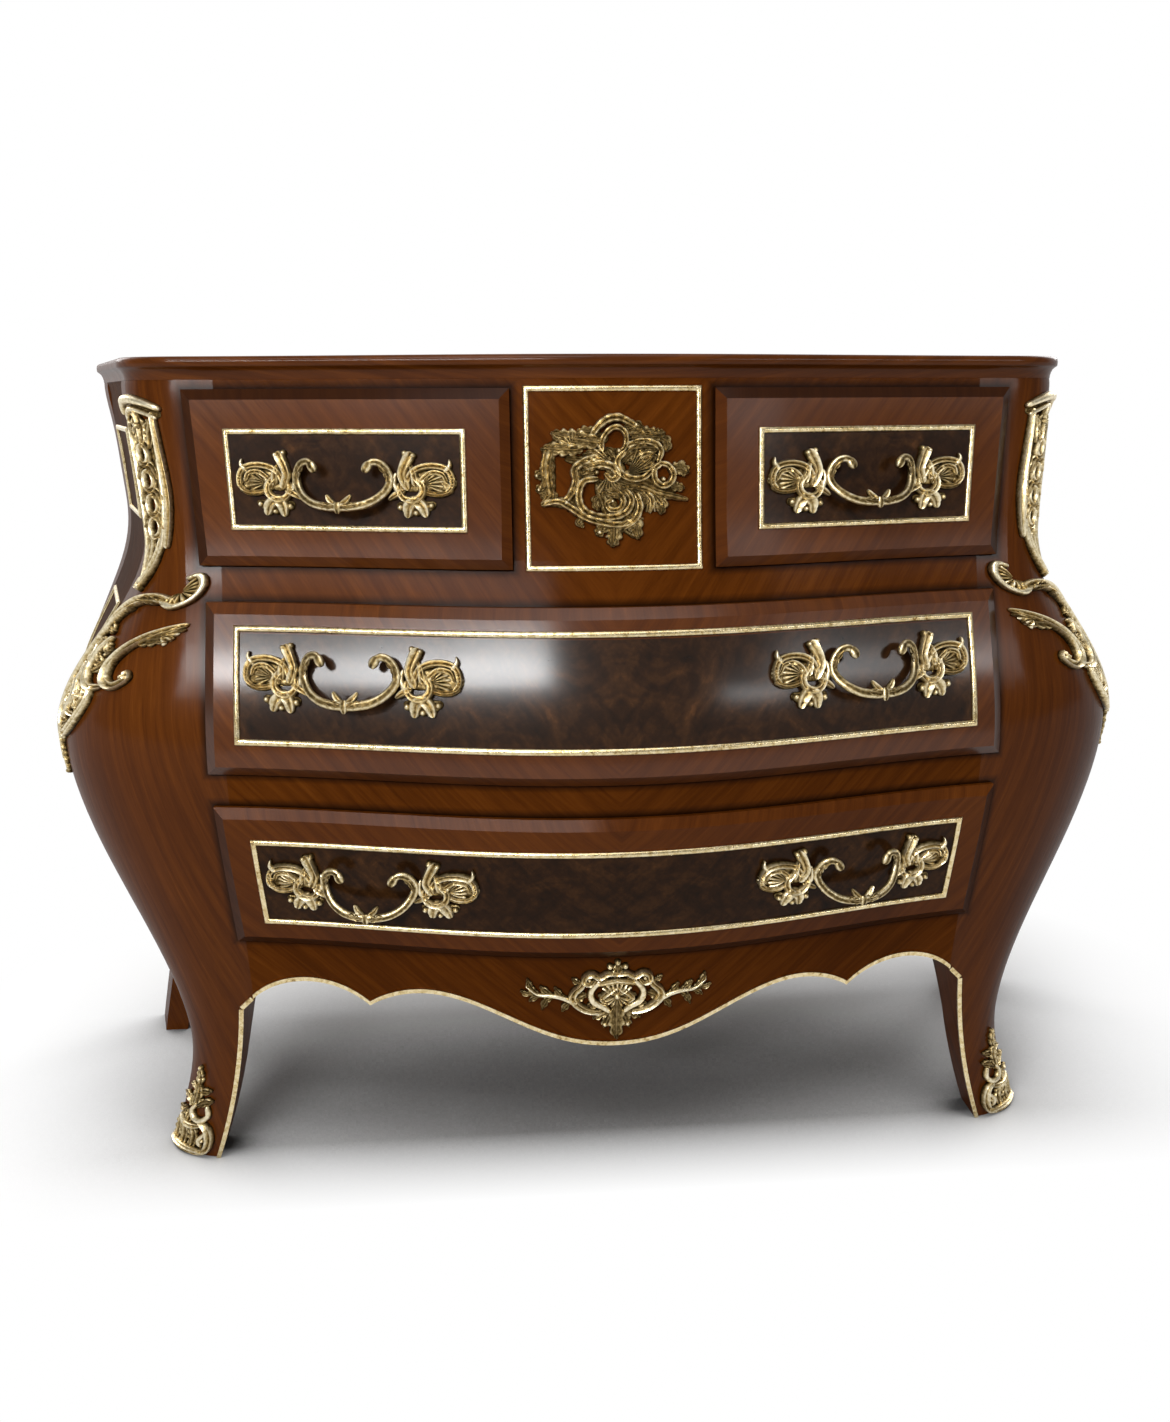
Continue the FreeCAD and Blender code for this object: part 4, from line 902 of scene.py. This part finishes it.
CARTOUCHE_LEAVES = strokes(
    ("-10,36 -28,39 -46,42 -60,46", 10, 6.5, 6), ("-30,30 -50,31 -70,31", 8, 6, 5),
    ("-60,14 -68,9 -76,5", 6.5, 6, 3), ("-60,-2 -68,-5 -75,-8", 6, 6, 3),
    ("-54,-12 -62,-12 -71,-14", 6, 5.5, 3), ("-14,46 -26,47 -36,45", 6.5, 6, 4),
    ("10,50 19,53 28,51", 6, 6, 3), ("11,44 28,45 40,44 49,46", 8, 6.5, 6),
    ("43,42 51,37 50,28", 6, 6, 3), ("54,8 63,12 72,8", 8.5, 6.5, 4), ("53,-2 60,-5 68,-6", 5.5, 5.5, 3),
    ("42,-10 46,-20 44,-31", 6.5, 6, 4), ("8,-36 19,-40 22,-54", 8.5, 6.5, 4),
    ("-2,-36 -1,-48 -3,-61", 9, 7, 4), ("-8,-36 -13,-44 -18,-50", 6.5, 6, 3),
    ("-28,-30 -34,-37 -30,-42", 4.5, 5, 2), ("-14,-12 -18,-18 -16,-27", 5.5, 6, 3),
    ("18,16 27,17 34,22", 6, 6.5, 4), ("8,18 16,26 28,30", 7, 6.5, 4),
    ("-6,24 -18,27 -30,26", 4.5, 5.5, 3), ("-16,10 -24,8 -32,6", 5, 6, 3),
    ("18,-8 26,-14 28,-24", 6, 6, 3), ("4,-4 12,-8 20,-8", 5.5, 6.5, 3), ("0,22 -4,28 -8,32", 4.5, 6, 2),
    ("-8,20 -20,16 -32,18", 6, 8, 4), ("14,40 28,42 44,42", 7, 8, 5), ("16,30 30,32 44,30", 6, 8, 4),
    ("24,12 32,18 38,26", 6, 8.5, 4), ("2,2 14,-2 28,-2", 6, 8.5, 4),
    ("-12,-6 -4,-10 8,-12", 5.5, 8.5, 3), ("8,-28 14,-34 20,-32", 5.5, 8, 3),
    ("-22,-30 -10,-36 4,-37", 5, 8.5, 4), ("-60,20 -63,4 -61,-12", 5.5, 7.5, 5),
    ("-36,14 -37,0 -41,-14", 4.5, 8, 4),
)
CARTOUCHE_FANS = [((12, 6), 40, 33, 64, 8, 7), ((-6, 6), 275, 18, 110, 7, 6.5),
                  ((-2, 16), 150, 26, 60, 5, 6.5), ((34, -8), 290, 21, 70, 6, 6),
                  ((-40, 34), 120, 14, 90, 4, 6), ((13, -30), 310, 16, 80, 5, 6)]
CARTOUCHE_BEADS = [((21, 53), 3, 7), ((-15, -47), 3, 6), ((47, 2), 3, 8), ((4, 29), 3.2, 9),
                   ((-46, -19), 3, 8), ((-2, -18), 2.6, 6), ((-17, 9), 2.6, 8),
                   ((-74, 6), 2.6, 6), ((-72, -7), 2.6, 6)]
APRON_BANDS = strokes(
    ("0,30 10,31 18,27 26,31 33,28 34,21 28,18 24,22", (2.6, 3.4, 1.8), (5, 7, 5)),
    ("34,24 37,16 44,9 46,1 40,-8 30,-15 18,-18", (2.8, 4.4, 3), (5, 7.5, 5)),
    ("19,20 27,9 25,-3 14,-11 8,-17", (2.6, 3.8, 2.6), (5, 7, 5), ROLL),
    ("0,21 10,20 20,18", (3.4, 3.4, 2.4), (5, 6.5, 5), REEDS),
    ("3,12 11,7 16,1 12,-5", (2.6, 3.2, 1.8), (5, 7, 5)),
    ("44,-6 56,1 68,4 82,5 94,14", (3, 2.4, 0.8), (5, 5.5, 3), ROLL),
)
APRON_LEAVES = strokes(
    ("38,20 42,21 47,25", 3.8, 4.5, 2), ("32,6 40,2 49,-6", 7, 5.5, 3), ("55,1 60,6 65,14", 4.2, 4.5, 2),
    ("68,4 74,9 80,15", 4.2, 4.5, 2), ("82,6 89,12 93,24", 4.2, 4.5, 3), ("86,6 94,5 100,9", 3.6, 4, 2),
    ("49,-4 53,-9 57,-16", 4.4, 4.5, 2), ("65,3 73,-2 78,-14", 4.6, 4.5, 3),
    ("79,4 86,0 91,-4", 3.6, 4, 2), ("8,-14 16,-20 25,-25", 6.5, 5.5, 3),
    ("6,-18 10,-28 13,-37", 6, 5.5, 3), ("12,-4 20,-8 31,-8", 6, 5.5, 3), ("10,26 18,22 24,14", 5, 6, 3),
    ("4,6 11,2 20,4", 5, 6, 3),
)
APRON_SIDE_BEADS = [((8, 39), 3.6, 6), ((12, -34), 3.2, 5), ((29, 23), 2.8, 5)]
APRON_MIDDLE_LEAVES = strokes(("0,-6 0,-28 0,-51", 10, 7, 4), ("0,24 0,33 0,43", 6.5, 6, 3))
APRON_FANS = [((0, 3), 90, 18, 140, 7, 6.5), ((0, 3), 270, 17, 140, 7, 6)]
APRON_BEADS = [((0, 44), 3.6, 6), ((0, 3), 4.4, 8)]


def cartouche():
    cast = Casting(on_front(0, CARTOUCHE_Z))
    cast.fill(CARTOUCHE_GROUND + CARTOUCHE_BANDS, CARTOUCHE_LEAVES, CARTOUCHE_FANS, CARTOUCHE_BEADS,
              CARTOUCHE_NOTCH)
    cast.build("cartouche_casting", "carcass", "centre_cartouche")


def apron_mount():
    cast = Casting(on_front(0, APRON_MOUNT_Z))
    for sign in (-1, 1):
        cast.sign = sign
        cast.fill(APRON_BANDS, APRON_LEAVES, [], APRON_SIDE_BEADS)
    cast.fill([], APRON_MIDDLE_LEAVES, APRON_FANS, APRON_BEADS)
    cast.build("apron_casting", "carcass", "apron_mount")


# Mounts on the corners: (u, v) is the distance outside the corner and the height above the mount's level

def oval(u, v, wide, high):
    """A closed round path about (u, v)."""
    return [(u + wide * cos(radians(a)), v + high * sin(radians(a))) for a in range(90, 451, 45)]


UPPER_BANDS = strokes(
    ("-62,-9 -44,-3 -22,0 0,-4 8,-13", (3.4, 4.8, 3.4), (7, 10, 8), ROLL),
    ("-56,-18 -38,-12 -18,-10 2,-20", (2.4, 3, 2.4), (5, 6, 5), ROLL),
    ("-54,-16 -51,-50 -49,-92 -47,-118 -45,-142", (3.4, 4, 3.2), (5, 7, 5)),
    ("-45,-60 -43,-100 -40,-138 -36,-158", (2.4, 2.8, 2.2), (4, 6, 5), ROLL),
    ("0,-22 -4,-52 -8,-95 -11,-130 -16,-160 -23,-184", (3.2, 3.4, 2.6), (5, 7, 5)),
    ("-38,-136 -35,-160 -28,-181 -20,-187 -18,-179", (3, 4.4, 2), (5, 8, 6)),
)
UPPER_BANDS += [(oval(-27 + 0.03 * v, v, 8, 9.5), (2.4, 3.2, 2.4), (5, 6.5, 5))
                for v in (-54, -79, -103, -125)]
UPPER_BANDS += strokes(
    ("-58,-14 -40,-8 -20,-5 4,-15", (5, 6, 5), (5, 7, 6), GROUND),
    ("-48,-24 -44,-62 -42,-100 -40,-140", (6, 6.5, 4), (3.5, 4.5, 3.5), GROUND),
    ("-5,-28 -11,-62 -15,-100 -19,-142", (6, 6.5, 4), (3.5, 4.5, 3.5), GROUND),
    ("-28,-18 -29,-32 -28,-42", (10, 12, 8), (3.5, 4.5, 3.5), GROUND),
)
UPPER_LEAVES = strokes(
    ("-30,-12 -31,-26 -30,-44", 13, 7, 4), ("-50,-20 -44,-32 -40,-48", 7.5, 6, 3),
    ("-4,-24 -11,-36 -14,-50", 7.5, 6, 3), ("-26,-134 -27,-152 -26,-176", 9, 7, 4),
    ("-28,-172 -26,-180 -23,-190", 5, 7, 3),
)
for v in (-66, -91, -114):
    UPPER_LEAVES.append(([(-29, v + 2), (-38, v), (-43, v - 12)], 5.6, 8, 3))
    UPPER_LEAVES.append(([(-29, v + 2), (-19, v), (-13, v - 12)], 5.6, 8, 3))
UPPER_BEADS = [((-26, -187), 4.4, 8), ((-31, -26), 4, 9)]
LOWER_BANDS = strokes(
    ("-82,158 -62,161 -38,154 -17,134 -7,106 -4,72 -7,40 -16,16 -32,6", (4.6, 6, 3.2), (6, 9.5, 6)),
    ("-116,136 -104,131 -90,122 -78,108 -75,92 -85,78 -102,74 -112,82 -105,89",
     (3.4, 5.4, 2.8), (6, 9, 7)),
    ("-40,114 -34,99 -39,83 -52,71 -66,67 -80,70", (3.6, 5, 3.2), (6, 8.5, 6)),
    ("-28,7 -50,17 -68,33 -76,52 -70,66", (3, 4.4, 3.4), (5, 7.5, 6)),
    ("-8,104 -24,97 -31,82 -27,66 -40,52 -38,36 -24,26 -14,18", (2.8, 3.6, 2.6), (6, 8, 6), ROLL),
    ("-60,36 -44,36 -36,44 -42,54 -54,56", (2.6, 3.6, 2.4), (5, 7.5, 5)),
    ("-78,156 -90,154 -99,161 -98,174 -89,184 -81,182", (3, 3.6, 2.4), (7, 9.5, 8), ROLL),
)
LOWER_LEAVES = strokes(
    ("-84,118 -100,122 -120,124", 8, 7, 4), ("-92,126 -106,131 -122,132", 5.5, 6, 3),
    ("-62,106 -52,104 -40,113", 6, 7, 3), ("-56,66 -64,54 -65,40", 8.5, 7, 4),
    ("-40,66 -47,54 -47,40", 7.5, 7, 4), ("-30,50 -34,36 -31,22", 7, 7, 3),
    ("-15,8 -14,-8 -13,-24", 8, 7, 4), ("-14,-14 -14,-28 -13,-40", 6, 6, 3),
    ("-34,120 -22,124 -12,118", 5, 7, 3), ("-10,66 -20,62 -32,60", 7.5, 8, 4),
    ("-36,98 -46,92 -58,92", 6.5, 7, 3), ("-52,82 -60,88 -70,98", 6.5, 7, 3),
    ("-14,100 -22,108 -32,110", 6, 7, 3), ("-22,18 -34,22 -48,26", 6.5, 7, 4),
    ("-50,52 -58,46 -66,46", 6, 7, 3), ("-30,76 -38,74 -48,78", 6.5, 7.5, 3),
    ("-10,130 -24,142 -42,148", 4.5, 9.5, 5), ("-44,156 -58,158 -74,156", 4.5, 10.5, 4),
)
LOWER_FANS = [((-85, 168), 200, 14.5, 240, 9, 8), ((-106, 126), 170, 14, 120, 5, 6.5),
              ((-9, 84), 180, 18, 150, 7, 6.5), ((-9, 44), 175, 24, 110, 7, 6.5)]
LOWER_BEADS = [((-106, 84), 3.8, 9), ((-83, 182), 3.6, 10), ((-13, -38), 3.4, 7), ((-17, 6), 5, 7),
               ((-52, 60), 3.2, 8), ((-66, 60), 3, 8)]
SABOT_BANDS = strokes(
    ("-38,43 -49,37 -54,23 -52,10 -42,5", (3.2, 4.8, 3.2), (5, 8, 6)),
    ("-44,64 -47,54 -40,46 -30,46 -24,54 -28,63", (2.6, 3.6, 2.6), (5, 7, 5), ROLL),
    ("-48,5 -30,5.5 -12,5.5 3,5", (4, 5, 4), (6, 9, 7), REEDS),
    ("-36,37 -20,35 -5,39", (3, 4, 2.6), (5, 7.5, 5)),
    ("-46,28 -42,20 -45,13", (2.4, 3.2, 2), (5, 7, 5), ROLL),
)
SABOT_LEAVES = strokes(
    ("-28,36 -33,24 -33,8", 8, 7, 4), ("-16,36 -18,22 -18,6", 8.5, 7, 4),
    ("-4,36 -4,22 -3,6", 7.5, 6.5, 4), ("-26,58 -22,48 -20,37", 7, 6.5, 3),
    ("-30,62 -39,70 -50,74", 6, 6, 3), ("-22,60 -14,68 -5,71", 6, 6, 3),
    ("-26,60 -29,76 -31,92", 7.5, 6.5, 4), ("-29,80 -38,84 -47,87", 5, 5, 2),
    ("-27,80 -20,86 -14,86", 4.6, 5, 2), ("-29,88 -30,100 -30,112", 6, 6, 3),
    ("-14,54 -7,47 1,49", 6, 6, 3),
)
SABOT_BEADS = [((-30, 113), 3, 6), ((-30, 98), 3.2, 7), ((-46, 20), 3, 6), ((-16, 46), 3, 6)]


def corner_casting(name, base_z, side, node, *shapes):
    cast = Casting(on_corner(base_z, side))
    cast.fill(*shapes)
    cast.build(name, "carcass", node)


cartouche()
apron_mount()
for side, label in SIDES:
    corner_casting(label + "_upper_casting", UPPER_MOUNT_Z, side, label + "_upper_corner_mount",
                   UPPER_BANDS, UPPER_LEAVES, [], UPPER_BEADS)
    corner_casting(label + "_lower_casting", LOWER_MOUNT_Z, side, label + "_lower_corner_mount",
                   LOWER_BANDS, LOWER_LEAVES, LOWER_FANS, LOWER_BEADS)
    corner_casting(label + "_sabot_casting", 0, side, label + "_foot_sabot",
                   SABOT_BANDS, SABOT_LEAVES, [], SABOT_BEADS)


# Floor, light and camera, in metres, watts and degrees

FLOOR_HALF_WIDTH = 24
FLOOR_EDGES_Y = (-6, -2, 1, 3.2)
BACKDROP_RADIUS = 1.6
BACKDROP_HEIGHT = 24
FLOOR_GREY = (0.4, 0.4, 0.4, 1)
STUDIO_GREY = (0.3, 0.3, 0.3, 1)
# Reach and samples of the floor's painted shadow from ambient occlusion
SHADOW_OCCLUSION_REACH = 0.6
SHADOW_OCCLUSION_SAMPLES = 16
SHADOW_HALF_WIDTH = 0.55
SHADOW_FRONT = 0.08
SHADOW_BACK = 0.2
SHADOW_FADE = 0.35
FRONT_FADE_RATE = -3
LAMPS = {
    "key": ((-1.25, -2.5, 1.8), (-1.18, 0, 0.9), 1.6, 0.26, 60),
    "right": ((2.5, -2.5, 1.78), (2.4, 0, 0.9), 0.8, 0.3, 8),
    "right_low": ((1.75, -2.5, 1.47), (1.7, 0, 0.9), 0.7, 0.18, 4),
    "strip": ((-1.2, -2.5, 3.55), (-0.9, 0, 0.5), 2.5, 0.45, 38),
    "overhead": ((0, -0.8, 2.7), (0, -0.2, 0), 1.8, 1.2, 16),
    "left_rear": ((-2, 1.7, 1.7), (0, 0.2, 0.5), 1, 1, 20),
    "right_rear": ((2, 1.7, 1.7), (0, 0.2, 0.5), 1, 1, 20),
}
CAMERA_PLACE = (-0.121, -1.28583, 0.844)
CAMERA_YAW = 4.64
CAMERA_PITCH = -15.22
CAMERA_ROLL = -0.19
CAMERA_LENS = 29.57
CAMERA_SENSOR = 36


def floor_paint():
    """White away from the chest where it is seen, with the lamps' shadow under the chest deepened by
    painted shadow from ambient occlusion, and grey to other rays.
    """
    paint = Paint("floor")
    paint.tree.nodes.remove(paint.shader)
    where, x, y, z = paint.place()
    rays = paint.node("LightPath").node.outputs
    kinds = ("Is Camera Ray", "Is Glossy Ray", "Is Transmission Ray")
    seen = paint.chain("MAXIMUM", [rays[kind] for kind in kinds])
    # Painted shadow: the floor's colour darkens by ambient occlusion near and under the chest
    occlusion_shadow = paint.node("AmbientOcclusion", {"Distance": SHADOW_OCCLUSION_REACH}, "AO", samples=SHADOW_OCCLUSION_SAMPLES)
    pale = paint.node("BsdfDiffuse", {"Color": paint.span(occlusion_shadow, 0.3, 0.9, 0.08, 1.1)})
    white = paint.node("Emission", {"Strength": 1})
    beside = paint.math("SUBTRACT", paint.math("ABSOLUTE", x), SHADOW_HALF_WIDTH)
    aside = paint.math("MAXIMUM", beside, 0)
    before = paint.math("MULTIPLY", paint.math("ADD", y, SHADOW_FRONT), FRONT_FADE_RATE)
    ahead = paint.chain("MAXIMUM", [before, paint.math("SUBTRACT", y, SHADOW_BACK), 0])
    away = paint.math("SQRT", paint.weighted((aside, aside), (ahead, ahead)))
    distant = paint.span(away, 0, SHADOW_FADE, 0, 1)
    shown = paint.node("MixShader", enumerate((distant, pale, white)))
    plain = paint.node("BsdfDiffuse", {"Color": FLOOR_GREY})
    paint.feed(paint.output.inputs["Surface"], paint.node("MixShader", enumerate((seen, plain, shown))))
    return paint.material


def sweep_floor():
    """A pale floor that curves up into a backdrop behind the chest."""
    profile = [(y, 0) for y in FLOOR_EDGES_Y]
    turn = FLOOR_EDGES_Y[-1]
    profile += [(turn + BACKDROP_RADIUS * sin(a), BACKDROP_RADIUS * (1 - cos(a)))
                for a in (radians(9 * k) for k in range(1, 11))]
    profile.append((turn + BACKDROP_RADIUS, BACKDROP_HEIGHT))
    points = [(x, y, z) for y, z in profile for x in (-FLOOR_HALF_WIDTH, FLOOR_HALF_WIDTH)]
    faces = [(2 * i, 2 * i + 1, 2 * i + 3, 2 * i + 2) for i in range(len(profile) - 1)]
    mesh = bpy.data.meshes.new("floor")
    mesh.from_pydata(points, [], faces)
    mesh.shade_smooth()
    mesh.materials.append(floor_paint())
    floor = bpy.data.objects.new("floor", mesh)
    scene.collection.objects.link(floor)


def softbox(name, place, target, width, height, power):
    """A soft rectangular lamp at a place, turned towards a target."""
    data = bpy.data.lights.new(name, "AREA")
    data.shape = "RECTANGLE"
    data.size = width
    data.size_y = height
    data.energy = power
    lamp = bpy.data.objects.new(name, data)
    scene.collection.objects.link(lamp)
    lamp.location = place
    lamp.rotation_euler = (Vector(target) - Vector(place)).to_track_quat("-Z", "Y").to_euler()


def lights():
    for name, settings in LAMPS.items():
        softbox(name, *settings)
    world = bpy.data.worlds.new("studio")
    scene.world = world
    world.use_nodes = True
    world.node_tree.nodes["Background"].inputs["Color"].default_value = STUDIO_GREY


def camera():
    """The camera at the photograph's place and angle."""
    data = bpy.data.cameras.new("camera")
    data.lens = CAMERA_LENS
    data.sensor_width = CAMERA_SENSOR
    rig = bpy.data.objects.new("camera", data)
    scene.collection.objects.link(rig)
    rig.matrix_world = Matrix.Translation(CAMERA_PLACE)
    for angle, axis in ((-CAMERA_YAW, "Z"), (90 + CAMERA_PITCH, "X"), (CAMERA_ROLL, "Z")):
        rig.matrix_world = rig.matrix_world @ Matrix.Rotation(radians(angle), 4, axis)
    scene.camera = rig


sweep_floor()
lights()
camera()
